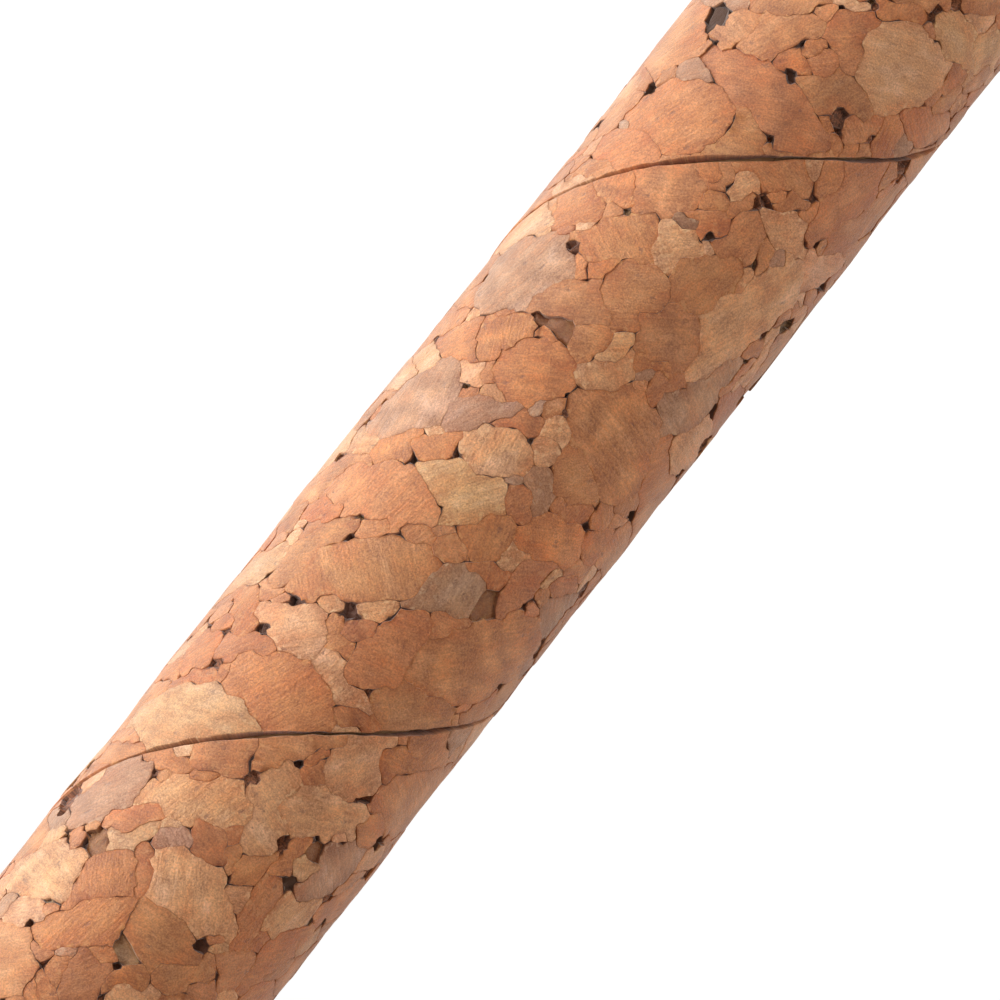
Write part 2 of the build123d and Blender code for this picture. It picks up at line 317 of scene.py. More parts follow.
def inside_loops(point, loops):
    """Even-odd test of flat points against closed loops."""
    odd = np.zeros(len(point), bool)
    for loop in loops:
        ax, ay = loop[:, 0], loop[:, 1]
        bx, by = np.roll(ax, -1), np.roll(ay, -1)
        px, py = point[:, :1], point[:, 1:]
        crosses = (ay > py) != (by > py)
        safe = np.where(by == ay, 1.0, by - ay)
        hit = crosses & (px < (bx - ax) * (py - ay) / safe + ax)
        odd ^= hit.sum(1) % 2 == 1
    return odd


def fill_loops(loops, extra):
    """Triangles that fill flat loops round extra points, or None where the loops cross themselves."""
    points = np.concatenate([*loops, extra]) if len(extra) else np.concatenate(loops)
    edges, start = [], 0
    for loop in loops:
        edges += [(start + k, start + (k + 1) % len(loop)) for k in range(len(loop))]
        start += len(loop)
    made = delaunay_2d_cdt([Vector(p) for p in points], edges, [], 0, 1e-6)
    if len(made[0]) != len(points) or any(len(o) != 1 for o in made[3]):
        return None
    original = np.array([o[0] for o in made[3]])
    triangles = original[np.array(made[2])]
    middle = points[triangles].mean(1)
    triangles = triangles[inside_loops(middle, loops)]
    upside_down = doubled_area(*(points[triangles[:, k]] for k in range(3))) < 0
    triangles[upside_down] = triangles[upside_down][:, ::-1]
    return triangles


class Shell:
    """Collects the points and faces of a cork skin, with what its material reads."""

    def __init__(self, surface):
        self.surface = surface
        self.points, self.depths, self.gaps, self.count = [], [], [], 0
        self.faces, self.owners = [], []

    def add(self, points, depth, gap):
        ids = np.arange(self.count, self.count + len(points))
        self.points.append(points)
        self.depths.append(np.broadcast_to(depth, len(points)).astype(float))
        self.gaps.append(np.broadcast_to(gap, len(points)).astype(float))
        self.count += len(points)
        return ids

    def face(self, corners, owner):
        corners = np.asarray(corners).reshape(-1, 3)
        self.faces.append(corners)
        self.owners.append(np.broadcast_to(owner, len(corners)))

    def quads(self, a, b, c, d, owner):
        self.face(np.stack([a, b, c], 1), owner)
        self.face(np.stack([a, c, d], 1), owner)


def slide(surface, points, step):
    """Moves points along the surface."""
    up = surface.up(points)
    return surface.settle(points + step - up * np.einsum("ij,ij->i", step, up)[:, None])


def sink_pits(rng, surface, look, owner, edges):
    """Turns some cells into pits, round places where three granules meet.

    Returns the granule that owns each cell, numbered from 0, and which granules are pits.
    """
    cells, triangles = surface.cells, surface.triangles
    corner = owner[triangles]
    meets = (corner[:, 0] != corner[:, 1]) & (corner[:, 1] != corner[:, 2]) & (corner[:, 0] != corner[:, 2])
    meets = np.flatnonzero(meets & (corner >= 0).all(1))
    reaches, shares = zip(*look["pit_reach"])
    is_pit = np.zeros(len(cells), bool)
    fresh = len(cells)
    for t in rng.choice(meets, min(look["pits"], len(meets)), replace=False):
        middle = cells[triangles[t]].mean(0)
        reach = rng.choice(reaches, p=shares) * look["cell"]
        near = np.flatnonzero(np.linalg.norm(cells - middle, axis=1) < reach * rng.uniform(0.9, 1.15))
        near = near[(owner[near] >= 0) & ~is_pit[near]]
        if len(near) == 0:
            near = triangles[t][:1]
        if is_pit[near].any() or (owner[near] < 0).any():
            continue
        owner[near] = fresh
        is_pit[near] = True
        fresh += 1
    names, owner = np.unique(connected(owner, edges, is_pit), return_inverse=True)
    owner = owner - (1 if names[0] < 0 else 0)
    owned = owner >= 0
    total = owner.max() + 1
    share = np.bincount(owner[owned], weights=is_pit[owned], minlength=total)
    return owner, share > 0.5 * np.bincount(owner[owned], minlength=total)


def outline_steps(triangles, owner):
    """The steps of all outlines, each from one cell triangle to the next one.

    Each step has a cell on either side of it, and the triangles that it goes from and to.
    """
    one_side, other_side = triangles.T.ravel(), np.roll(triangles, -1, 1).T.ravel()
    here = np.tile(np.arange(len(triangles)), 3)
    key = one_side * len(owner) + other_side
    order = np.argsort(key)
    twin_key = other_side * len(owner) + one_side
    place = np.clip(np.searchsorted(key[order], twin_key), 0, len(key) - 1)
    there = np.where(key[order][place] == twin_key, here[order][place], -1)
    split = (owner[one_side] != owner[other_side]) & (there >= 0)
    return one_side[split], other_side[split], here[split], there[split]


class Outline:
    """The outlines of all granules as points, and the lip that goes round each granule.

    A lip point has the outline point that it belongs to (at), its granule, the granule across the crack
    (facing, which is below 0 past the strip's edge), the lip point after it (follow), and its way inward.
    """

    def __init__(self, rng, surface, look, cells, owner, pit):
        one_side, other_side, here, there = outline_steps(surface.triangles, owner)
        active = np.unique(here)
        slot_of = np.full(len(surface.triangles), -1)
        slot_of[active] = np.arange(len(active))
        step_from, step_to = slot_of[here], slot_of[there]
        corners = surface.triangles[active]
        self.outer = (owner[corners] < 0).any(1)
        self.degree = np.bincount(step_from, minlength=len(active))
        spot = surface.settle(cells[corners].mean(1))
        for _ in range(look["smooth"]):
            pull = np.zeros_like(spot)
            np.add.at(pull, step_from, spot[step_to])
            pull /= self.degree[:, None]
            share = np.where(self.degree > 2, 0.3, 0.5)[:, None]
            spot = surface.settle(spot + (pull - spot) * share)
            spot[self.outer] = surface.snap(spot[self.outer])
        rough = rng.normal(0, look["ragged"], spot.shape)
        rough[self.outer] = 0
        spot = slide(surface, spot, rough)

        # one lip point for every outline point and every granule that it touches
        total = len(pit)
        keep = owner[other_side] >= 0
        pair_key = step_from[keep] * total + owner[other_side][keep]
        next_key = step_to[keep] * total + owner[other_side][keep]
        order = np.argsort(pair_key)
        pair_key, next_key, self.facing = pair_key[order], next_key[order], owner[one_side][keep][order]
        self.follow = np.searchsorted(pair_key, next_key)
        if (pair_key[self.follow] != next_key).any():
            raise RuntimeError("a granule's outline isn't closed")
        before = np.empty(len(self.follow), int)
        before[self.follow] = np.arange(len(self.follow))
        self.at, self.granule = pair_key // total, pair_key % total
        self.size = np.bincount(self.granule, minlength=total)
        middle = np.zeros((total, 3))
        np.add.at(middle, self.granule, spot[self.at])
        self.middle = surface.settle(middle / np.maximum(self.size, 1)[:, None])

        # each pit's outline is drawn in unevenly towards its middle
        rim = pit[self.granule] & ~self.outer[self.at]
        draw = np.clip(0.5 + 0.35 * wave_noise(rng, 2.0)(spot) + rng.normal(0, 0.12, len(spot)), 0, 1)
        pull = (look["pit_draw"] * draw)[self.at[rim], None]
        spot[self.at[rim]] += (self.middle[self.granule[rim]] - spot[self.at[rim]]) * pull
        self.spot = surface.settle(spot)
        tangent = self.spot[self.at[self.follow]] - self.spot[self.at[before]]
        inward = np.cross(surface.up(self.spot[self.at]), tangent)
        self.inward = inward / np.maximum(np.linalg.norm(inward, axis=1), 1e-9)[:, None]

    def widest(self, width):
        """The widest of each outline point's lips."""
        widest = np.zeros(len(self.spot))
        np.maximum.at(widest, self.at, width)
        return widest


def crack_widths(rng, look, outline, pit):
    """How far each lip point stands back from its outline point.

    Each pair of neighbours has its own value, which varies along the crack between them.
    """
    at, granule, facing = outline.at, outline.granule, outline.facing
    low, high = np.minimum(granule, facing), np.maximum(granule, facing)
    seed = (low * 7919 + high * 104729) % 65521 / 65521
    openness = look["open"] * np.where(seed > look["tight"], 1.0, 0.2)
    spot = outline.spot[at]
    burst = 0.6 * wave_noise(rng, 1.6)(spot) + 0.6 * wave_noise(rng, 5.0)(spot) - 0.35
    width = look["hair"] + openness * np.clip(burst, 0, 1.8) * rng.uniform(0.5, 1.5, len(seed))
    at_pit = pit[granule] | (pit[np.maximum(facing, 0)] & (facing >= 0))
    slope = rng.uniform(*look["pit_wall"], len(pit))
    width = np.where(at_pit, np.where(pit[granule], slope[granule], look["pit_lip"]), width)
    width = np.where(facing < 0, look["edge_round"], width)
    at_corner = outline.degree[at] > 2
    width = 0.5 * width + 0.5 * np.where(at_corner, outline.widest(width)[at], width)
    bitten = at_corner & (rng.random(len(at)) < look["bitten"])
    width = width + np.where(bitten, rng.uniform(*look["bite"], len(at)), 0) * ~at_pit
    small = outline.size[granule] < SHOULDERED
    return np.where(small, np.minimum(width, look["small_width"]), width)


class Relief:
    """How deep the tops of granules and the floors of pits lie below the surface."""

    def __init__(self, rng, look, outline, pit):
        total = len(pit)
        self.rng, self.look, self.pit, self.middle = rng, look, pit, outline.middle
        self.uneven, self.ripple = wave_noise(rng, 14.0), wave_noise(rng, 3.0)
        self.level = rng.normal(0, look["level"], total)
        middling = (outline.size > 10) & (outline.size < 26) & ~pit
        self.chipped = rng.choice(np.flatnonzero(middling), look["chipped"], replace=False)
        self.level[self.chipped] += rng.uniform(*look["chip_depth"], look["chipped"])
        self.torn = np.zeros(total)
        self.torn[self.chipped] = look["chip_rough"]
        self.tilt = rng.normal(0, look["tilt"], (total, 3))
        self.sunk = rng.uniform(*look["pit_depth"], total)

    def base(self, points):
        return self.look["base"] + self.look["uneven"] * self.uneven(points)

    def top(self, points, whose):
        """The depth of points of the granules that own them."""
        flat = self.level[whose] + np.einsum("ij,ij->i", points - self.middle[whose], self.tilt[whose])
        depth = self.base(points) + 0.012 * self.ripple(points) + flat
        depth += self.torn[whose] * np.abs(self.ripple(points * 1.4))
        facets = self.rng.normal(0, 0.10, len(points)) + 0.16 * self.ripple(points * 2.3)
        floor = np.maximum(self.sunk[whose] + facets, self.look["base"] + 0.15)
        return np.clip(np.where(self.pit[whose], floor, depth), 0.0, self.look["deepest"])


def cork_skin(name, rng, surface, look):
    """Lays granules over a surface and returns the closed mesh object, with its attributes."""
    cells, inside = surface.cells, surface.inside
    warp = np.zeros_like(cells)
    for scale, strength in look["warp"]:
        warp += np.stack([wave_noise(rng, scale)(cells) for _ in range(3)], 1) * strength
    granules = sow(rng, surface, look["mix"], look["along"], look["stretch"])
    edges = mesh_edges(surface.triangles)
    owner = np.full(len(cells), -1)
    owner[inside] = nearest_granule((cells + warp)[inside], granules)
    owner, pit = sink_pits(rng, surface, look, connected(owner, edges), edges)
    cells = slide(surface, cells, rng.normal(0, look["jitter"] * look["cell"], cells.shape))
    outline = Outline(rng, surface, look, cells, owner, pit)
    width = crack_widths(rng, look, outline, pit)
    relief = Relief(rng, look, outline, pit)

    # the bottoms of the cracks, and the lips on both sides of them
    shell = Shell(surface)
    spot, at, granule, follow = outline.spot, outline.at, outline.granule, outline.follow
    wide = outline.widest(width)
    beside = np.zeros(len(spot), bool)
    beside[at[pit[granule]]] = True
    floor = relief.base(spot) + 0.03 + 2.2 * wide
    floor = np.where(beside, look["base"] + rng.uniform(0.10, 0.3, len(spot)), floor)
    floor = np.where(outline.outer, relief.base(spot) + 0.07, floor)
    lip = surface.settle(spot[at] + outline.inward * width[:, None])
    lip_depth = relief.top(lip, granule) + np.where(pit[granule], 0, 0.02)
    # the gap values set how much shade the cork material paints: more on floors and lips the wider the crack,
    # and full shade beside pits
    crack_shade_gap = np.where(outline.outer, 0.35, np.clip(0.42 + 7.0 * wide, 0.45, 1.0))
    crack_ids = shell.add(spot, np.minimum(floor, look["deepest"]), np.where(beside, 1.0, crack_shade_gap))
    lip_shade_gap = np.where(outline.facing < 0, 0.15, np.clip(0.22 + 3.2 * width, 0.2, 0.8))
    lip_ids = shell.add(lip, lip_depth, np.where(pit[granule], 1.0, lip_shade_gap))
    shell.quads(crack_ids[at], crack_ids[at[follow]], lip_ids[follow], lip_ids, granule)

    for g, (members, inner) in enumerate(zip(grouped(granule, len(pit)), grouped(owner, len(pit)))):
        if len(members):
            inner = inner[rng.random(len(inner)) < look["fill"]]
            fill_granule(shell, relief, outline, width, g, members, lip, lip_ids, cells[inner])
    if (outline.facing < 0).any():
        close_strip(shell, outline, crack_ids)
    return skin_object(name, rng, shell, look, relief)


def grouped(owner, total):
    """What each granule owns, as one array of indices for each granule."""
    order = np.argsort(owner, kind="stable")
    starts = np.searchsorted(owner[order], np.arange(total + 1))
    return [order[starts[g] : starts[g + 1]] for g in range(total)]


def closed_loops(follow, members):
    """The closed loops that the members make, where each is followed by its next one."""
    left, loops = set(members), []
    while left:
        loop = [min(left)]
        left.discard(loop[0])
        while follow[loop[-1]] != loop[0]:
            loop.append(int(follow[loop[-1]]))
            left.discard(loop[-1])
        loops.append(np.array(loop))
    return loops


def clear_inside(points, loops, room):
    """The flat points that lie inside the loops and not too near them."""
    if not len(points):
        return points
    clear = np.linalg.norm(points[:, None] - np.concatenate(loops)[None], axis=2).min(1) > room
    return points[clear & inside_loops(points, loops)]


SHOULDERED = 9  # lip points that a granule needs before it gets a shoulder inside its lip


def fill_granule(shell, relief, outline, width, g, members, lip, lip_ids, inner):
    """Closes one granule: a shoulder just inside its lip and then its top, or a top alone.

    A lip that crosses itself is moved back towards its outline. The shell holds the same array of lip
    points, so they move there too.
    """
    surface, pit = shell.surface, relief.pit[g]
    centre = outline.middle[g]
    loops = closed_loops(outline.follow, members.tolist())
    rims = [surface.flatten(centre, lip[loop]) for loop in loops]
    inner = surface.flatten(centre, inner)

    def add_top(flat, gap):
        points = surface.lift(centre, flat)
        return shell.add(points, relief.top(points, np.full(len(points), g)), gap)

    for inset in () if pit or len(members) < SHOULDERED else (0.28, 0.16, 0.08):
        shoulders = [shoulder_loop(rim, inset) for rim in rims]
        extra = clear_inside(inner, shoulders, 0.35)
        made = fill_loops(shoulders, extra)
        if made is None or not len(made) or not ring_is_clear(rims, shoulders):
            continue
        gap = np.zeros(len(members) + len(extra))
        gap[: len(members)] = relief.look["edge_tone"]
        ids = add_top(np.concatenate([*shoulders, extra]), gap)
        shell.face(ids[made], g)
        start = 0
        for loop in loops:
            mine, rim_ids = ids[start : start + len(loop)], lip_ids[loop]
            shell.quads(rim_ids, np.roll(rim_ids, -1), np.roll(mine, -1), mine, g)
            start += len(loop)
        return

    extra = clear_inside(inner, rims, 0.2)
    made = fill_loops(rims, extra)
    for share in (0.5, 0.2, 0.05):
        if made is not None and len(made):
            break
        back = outline.inward[members] * (share * width[members])[:, None]
        lip[members] = surface.settle(outline.spot[outline.at[members]] + back)
        rims = [surface.flatten(centre, lip[loop]) for loop in loops]
        extra = extra[:0]
        made = fill_loops(rims, extra)
    if made is None or not len(made):
        made = np.array([[0, k, k + 1] for k in range(1, len(rims[0]) - 1)])
    ids = [lip_ids[loop] for loop in loops]
    if len(extra):
        # a pit's inner points get a gap value of 1, so the material paints them with full shade
        ids.append(add_top(extra, 1.0 if pit else 0.0))
    shell.face(np.concatenate(ids)[made], g)


def shoulder_loop(rim, inset):
    """The rim moved inwards by at most the inset, and by less where the granule is narrow."""
    ahead, behind = np.roll(rim, -1, 0), np.roll(rim, 1, 0)
    tangent = ahead - behind
    tangent += 0.5 * (np.roll(tangent, -1, 0) + np.roll(tangent, 1, 0))
    inward = np.stack([-tangent[:, 1], tangent[:, 0]], 1)
    inward /= np.maximum(np.linalg.norm(inward, axis=1), 1e-9)[:, None]
    apart = np.linalg.norm(rim[:, None] - rim[None], axis=2)
    number = np.arange(len(rim))
    hops = np.abs(number[:, None] - number[None])
    hops = np.minimum(hops, len(rim) - hops)
    facing = np.einsum("ijk,ik->ij", rim[None] - rim[:, None], inward) > 0.5 * apart
    room = np.where((hops > 2) & facing, apart, 9.0).min(1) * 0.38
    return rim + inward * np.minimum(inset, room)[:, None]


def ring_is_clear(rims, shoulders):
    """Whether every quad between the rim and the shoulder keeps its right way up."""
    for rim, shoulder in zip(rims, shoulders):
        a, b = rim, np.roll(rim, -1, 0)
        c, d = np.roll(shoulder, -1, 0), shoulder
        if min(doubled_area(a, b, c).min(), doubled_area(a, c, d).min()) < -0.004:
            return False
    return True


def close_strip(shell, outline, crack_ids):
    """Side walls and inner face of the strip, so that its mesh is closed."""
    spot, at, surface = outline.spot, outline.at, shell.surface
    edge = outline.facing < 0
    rim = np.unique(at[edge])
    inner_depth = GRIP_R - CORK_IN_R
    low_ids = np.full(len(spot), -1)
    low_ids[rim] = shell.add(spot[rim], inner_depth, 0.5)
    first, second = at[edge], at[outline.follow][edge]
    on_edge = (low_ids[second] >= 0) & (low_ids[first] >= 0)
    a, b = first[on_edge], second[on_edge]
    shell.quads(crack_ids[a], low_ids[a], low_ids[b], crack_ids[b], outline.granule[edge][on_edge])
    after = dict(zip(a.tolist(), b.tolist()))
    loops = closed_loops(after, after)
    rims = [spot[loop][:, :2] for loop in loops]
    ring = np.concatenate(rims)
    grid = surface.cells[surface.inside][::11, :2]
    grid = grid[[np.linalg.norm(ring - p, axis=1).min() > 1.2 for p in grid]]
    made = fill_loops(rims, grid)
    if made is None:
        raise RuntimeError("the strip's outline crosses itself")
    grid_ids = shell.add(np.concatenate([grid, np.zeros((len(grid), 1))], 1), inner_depth, 0.5)
    ids = np.concatenate([low_ids[np.concatenate(loops)], grid_ids])
    shell.face(ids[made][:, ::-1], 0)


def write_attribute(mesh, name, kind, domain, field, values):
    mesh.attributes.new(name, kind, domain).data.foreach_set(field, values.astype(np.float32).ravel())


def skin_object(name, rng, shell, look, relief):
    """Makes the mesh and writes what the cork material reads: tint, grain place and gap."""
    pit, total = relief.pit, len(relief.pit)
    points, depths, gaps = (np.concatenate(part) for part in (shell.points, shell.depths, shell.gaps))
    faces, owners = np.concatenate(shell.faces), np.concatenate(shell.owners)
    placed = shell.surface.place(points, depths)
    near = np.round(placed / (0.0005 * MM))
    _, first, same = np.unique(near, axis=0, return_index=True, return_inverse=True)
    faces = same.reshape(-1)[faces]
    points, gaps, placed = points[first], gaps[first], placed[first]
    real = (faces[:, 0] != faces[:, 1]) & (faces[:, 1] != faces[:, 2]) & (faces[:, 0] != faces[:, 2])
    faces, owners = faces[real], owners[real]
    mesh = bpy.data.meshes.new(name)
    mesh.from_pydata(placed.tolist(), [], faces.tolist())
    mesh.update()
    tint = cork_tints(rng, look["colours"], total, pit)
    little = ~pit & (np.bincount(owners, minlength=total) < look["little"]) & (rng.random(total) < 0.7)
    tint[little] *= look["little_tint"]
    tint[relief.chipped] *= look["chip_tint"]
    turn = rng.uniform(0, 2 * math.pi, total) if look["free_grain"] else rng.normal(0, 0.7, total)
    shift = rng.uniform(-500, 500, (total, 2))
    mark = rng.random(total)
    whose = np.repeat(owners, 3)
    flat = shell.surface.unrolled(relief.middle[whose], points[faces.ravel()])
    c, s = np.cos(turn[whose]), np.sin(turn[whose])
    grain = np.zeros((len(whose), 3))
    grain[:, 0] = flat[:, 0] * c + flat[:, 1] * s + shift[whose, 0]
    grain[:, 1] = -flat[:, 0] * s + flat[:, 1] * c + shift[whose, 1]
    grain[:, 2] = mark[whose]
    write_attribute(mesh, "grain", "FLOAT_VECTOR", "CORNER", "vector", grain)
    tint = np.concatenate([tint[whose], np.ones((len(whose), 1))], 1)
    write_attribute(mesh, "tint", "FLOAT_COLOR", "CORNER", "color", tint)
    # the gap also sets how much shade the cork material paints into cracks and pits
    write_attribute(mesh, "gap", "FLOAT", "POINT", "value", gaps)
    mesh.polygons.foreach_set("use_smooth", np.ones(len(faces), bool))
    mesh.set_sharp_from_angle(angle=math.radians(38))
    made = bpy.data.objects.new(name, mesh)
    bpy.context.scene.collection.objects.link(made)
    return made


def cork_tints(rng, colours, total, pit):
    """A colour for each granule from the settings' five, and a dark floor for each pit."""
    pick = rng.choice(5, total, p=[0.40, 0.25, 0.21, 0.08, 0.06])
    tint = np.array(colours)[pick] * rng.normal(1, 0.035, (total, 1)) * rng.normal(1, 0.017, (total, 3))
    floor = np.array([[0.19, 0.068, 0.030], [0.24, 0.13, 0.056], [0.28, 0.10, 0.042]])
    dark = floor[rng.choice(3, total, p=[0.36, 0.24, 0.40])] * rng.uniform(0.7, 1.9, (total, 1))
    return np.where(pit[:, None], dark, tint)


# Lengths are in millimetres. The ball differs from the wrap only in what BALL_LOOK gives again.
WRAP_LOOK = {
    "cell": 0.95,  # width of the cells that granules are made of
    "jitter": 0.13,  # how far the cells stand out of line, in cells
    "mix": ((3.2, 5.2, 90, 0.86), (1.9, 3.1, 380, 0.74), (0.7, 1.5, 1150, 0.60)),  # radii, count, closeness
    "along": 0.50,  # how much the granules' long sides differ in direction
    "stretch": (1.2, 2.9),  # how long granules are for their width
    "warp": ((8.0, 0.35), (3.0, 0.16)),  # waves in the outlines: length and height
    "smooth": 2,  # passes that smooth the outlines
    "ragged": 0.07,  # small jags in the outlines
    "tight": 0.62,  # share of the cracks that are nearly closed
    "open": 0.085,  # scale of the width of the other cracks, on each side of them
    "hair": 0.014,  # least width of a crack, on each side of it
    "bitten": 0.25,  # share of the granules' corners that are bitten off
    "bite": (0.04, 0.17),  # how much is bitten off
    "small_width": 0.07,  # the widest crack beside a small granule
    "pit_reach": ((0.45, 0.64), (0.62, 0.22), (0.95, 0.11), (1.5, 0.03)),  # radii in cells, and how often
    "pit_lip": 0.03,  # how far a granule stands back from a pit
    "pit_wall": (0.05, 0.26),  # how far a pit's wall slopes in
    "pit_draw": 0.42,  # how far a pit's outline is drawn in, at most, as a share
    "pit_depth": (0.32, 0.85),  # under the piece's outer size, before small bumps
    "edge_round": 0.04,  # rounding of the strip's edges
    "edge_tone": 0.14,  # how dark the rim of a granule is
    "level": 0.018,  # how much granules differ in height
    "tilt": 0.010,  # how much granules slope
    "chipped": 12,  # how many granules have lost their tops
    "chip_depth": (0.12, 0.3),
    "chip_rough": 0.14,  # bumps where a top is lost
    "chip_tint": (0.55, 0.57, 0.52),  # multiplies the colour there
    "little": 60,  # most of the granules with fewer triangles than this are paler
    "little_tint": (1.08, 1.13, 1.25),  # multiplies their colour
    "base": 0.12,  # mean depth of the granules' tops under the piece's outer size
    "uneven": 0.06,  # slow waves in that depth
    "deepest": 1.15,  # limit of the depth of pits and cracks
    "fill": 0.42,  # share of the cells that give a granule's top its points
    "free_grain": False,  # whether grain runs in any direction, or mostly along the strip
}


BALL_LOOK = {
    **WRAP_LOOK,
    "cell": 1.13,
    "mix": ((2.6, 4.4, 110, 0.84), (1.5, 2.6, 420, 0.72), (0.8, 1.4, 900, 0.64)),
    "stretch": (1.05, 1.7),
    "warp": ((7.0, 0.30), (3.0, 0.10)),
    "tight": 0.72,
    "open": 0.07,
    "pit_wall": (0.05, 0.18),
    "pit_depth": (0.30, 0.65),
    "level": 0.008,
    "tilt": 0.004,
    "chipped": 8,
    "base": 0.08,
    "uneven": 0.03,
    "deepest": 0.9,
    "free_grain": True,
}


# ===================================== shader node helpers ======================================
def put(tree, kind, inputs=None, **settings):
    """Adds a node to a tree, sets its settings, and feeds its inputs with numbers, colours or sockets."""
    made = tree.nodes.new(kind)
    for key, value in settings.items():
        setattr(made, key, value)
    for key, value in (inputs or {}).items():
        if isinstance(value, bpy.types.NodeSocket):
            tree.links.new(value, made.inputs[key])
        else:
            made.inputs[key].default_value = value
    return made


def maths(tree, operation, *values):
    """A Math node's result."""
    return put(tree, "ShaderNodeMath", dict(enumerate(values)), operation=operation).outputs[0]


def plus(tree, first, second):
    return maths(tree, "ADD", first, second)


def minus(tree, first, second):
    return maths(tree, "SUBTRACT", first, second)


def times(tree, first, second):
    return maths(tree, "MULTIPLY", first, second)


def remap(tree, value, from_low, from_high, to_low, to_high, smooth=False):
    """A Map Range node's result, kept inside its limits."""
    kind = "SMOOTHSTEP" if smooth else "LINEAR"
    limits = {1: from_low, 2: from_high, 3: to_low, 4: to_high, 0: value}
    return put(tree, "ShaderNodeMapRange", limits, interpolation_type=kind, clamp=True).outputs[0]


def mix(tree, share, first, second, kind="MIX"):
    """A colour Mix node's result."""
    made = put(tree, "ShaderNodeMix", {0: share, 6: first, 7: second}, data_type="RGBA", blend_type=kind)
    return made.outputs[2]


def tinted(tree, colour, tint):
    """One colour multiplied by another, or by a brightness."""
    return mix(tree, 1.0, colour, tint, "MULTIPLY")


def noise(tree, place, scale, detail=2.0, rough=0.5, distort=0.0):
    """A Noise texture's value."""
    inputs = {"Vector": place, "Scale": scale, "Detail": detail, "Roughness": rough, "Distortion": distort}
    return put(tree, "ShaderNodeTexNoise", inputs).outputs[0]


def stretch(tree, place, scale):
    """A place with each axis scaled, so that a texture there is drawn out or packed."""
    return put(tree, "ShaderNodeVectorMath", {0: place, 1: scale}, operation="MULTIPLY").outputs[0]


def new_material(name):
    """An empty node material and its tree, with a Principled shader wired to the output."""
    material = bpy.data.materials.new(name)
    material.use_nodes = True
    tree = material.node_tree
    tree.nodes.clear()
    shader = put(tree, "ShaderNodeBsdfPrincipled")
    put(tree, "ShaderNodeOutputMaterial", {"Surface": shader.outputs[0]})
    return material, tree, shader


def finish(tree, shader, colour, rough, height, strength, distance):
    """Feeds a shader its colour, its roughness and a bump whose distance is in millimetres."""
    bump = put(tree, "ShaderNodeBump", {"Strength": strength, "Distance": distance * MM, "Height": height})
    for name, source in (("Base Color", colour), ("Roughness", rough), ("Normal", bump.outputs[0])):
        tree.links.new(source, shader.inputs[name])


def rgba(colour):
    """A colour with full alpha."""
    return (*colour, 1.0)


def new_group(name, inputs, outputs):
    """An empty shader node group with named sockets, and its input and output nodes."""
    tree = bpy.data.node_groups.new(name, "ShaderNodeTree")
    for label, default in inputs.items():
        kind = "Float" if isinstance(default, (int, float)) else "Color" if len(default) == 4 else "Vector"
        made = tree.interface.new_socket(label, in_out="INPUT", socket_type="NodeSocket" + kind)
        made.default_value = default
    for label, kind in outputs.items():
        tree.interface.new_socket(label, in_out="OUTPUT", socket_type="NodeSocket" + kind)
    given = tree.nodes.new("NodeGroupInput").outputs
    result = tree.nodes.new("NodeGroupOutput").inputs
    return tree, given, result


def use(tree, group, **inputs):
    """Places a shared finish in a tree, and builds it first where no material has needed it yet."""
    if group not in bpy.data.node_groups:
        FINISHES[group]()
    made = tree.nodes.new("ShaderNodeGroup")
    made.node_tree = bpy.data.node_groups[group]
    for key, value in inputs.items():
        socket = made.inputs[key]
        if isinstance(value, bpy.types.NodeSocket):
            tree.links.new(value, socket)
        else:
            socket.default_value = value
    return made.outputs


def place_in_mm(tree):
    """Object coordinates in millimetres."""
    spot = put(tree, "ShaderNodeTexCoord").outputs["Object"]
    return stretch(tree, spot, (1 / MM, 1 / MM, 1 / MM))


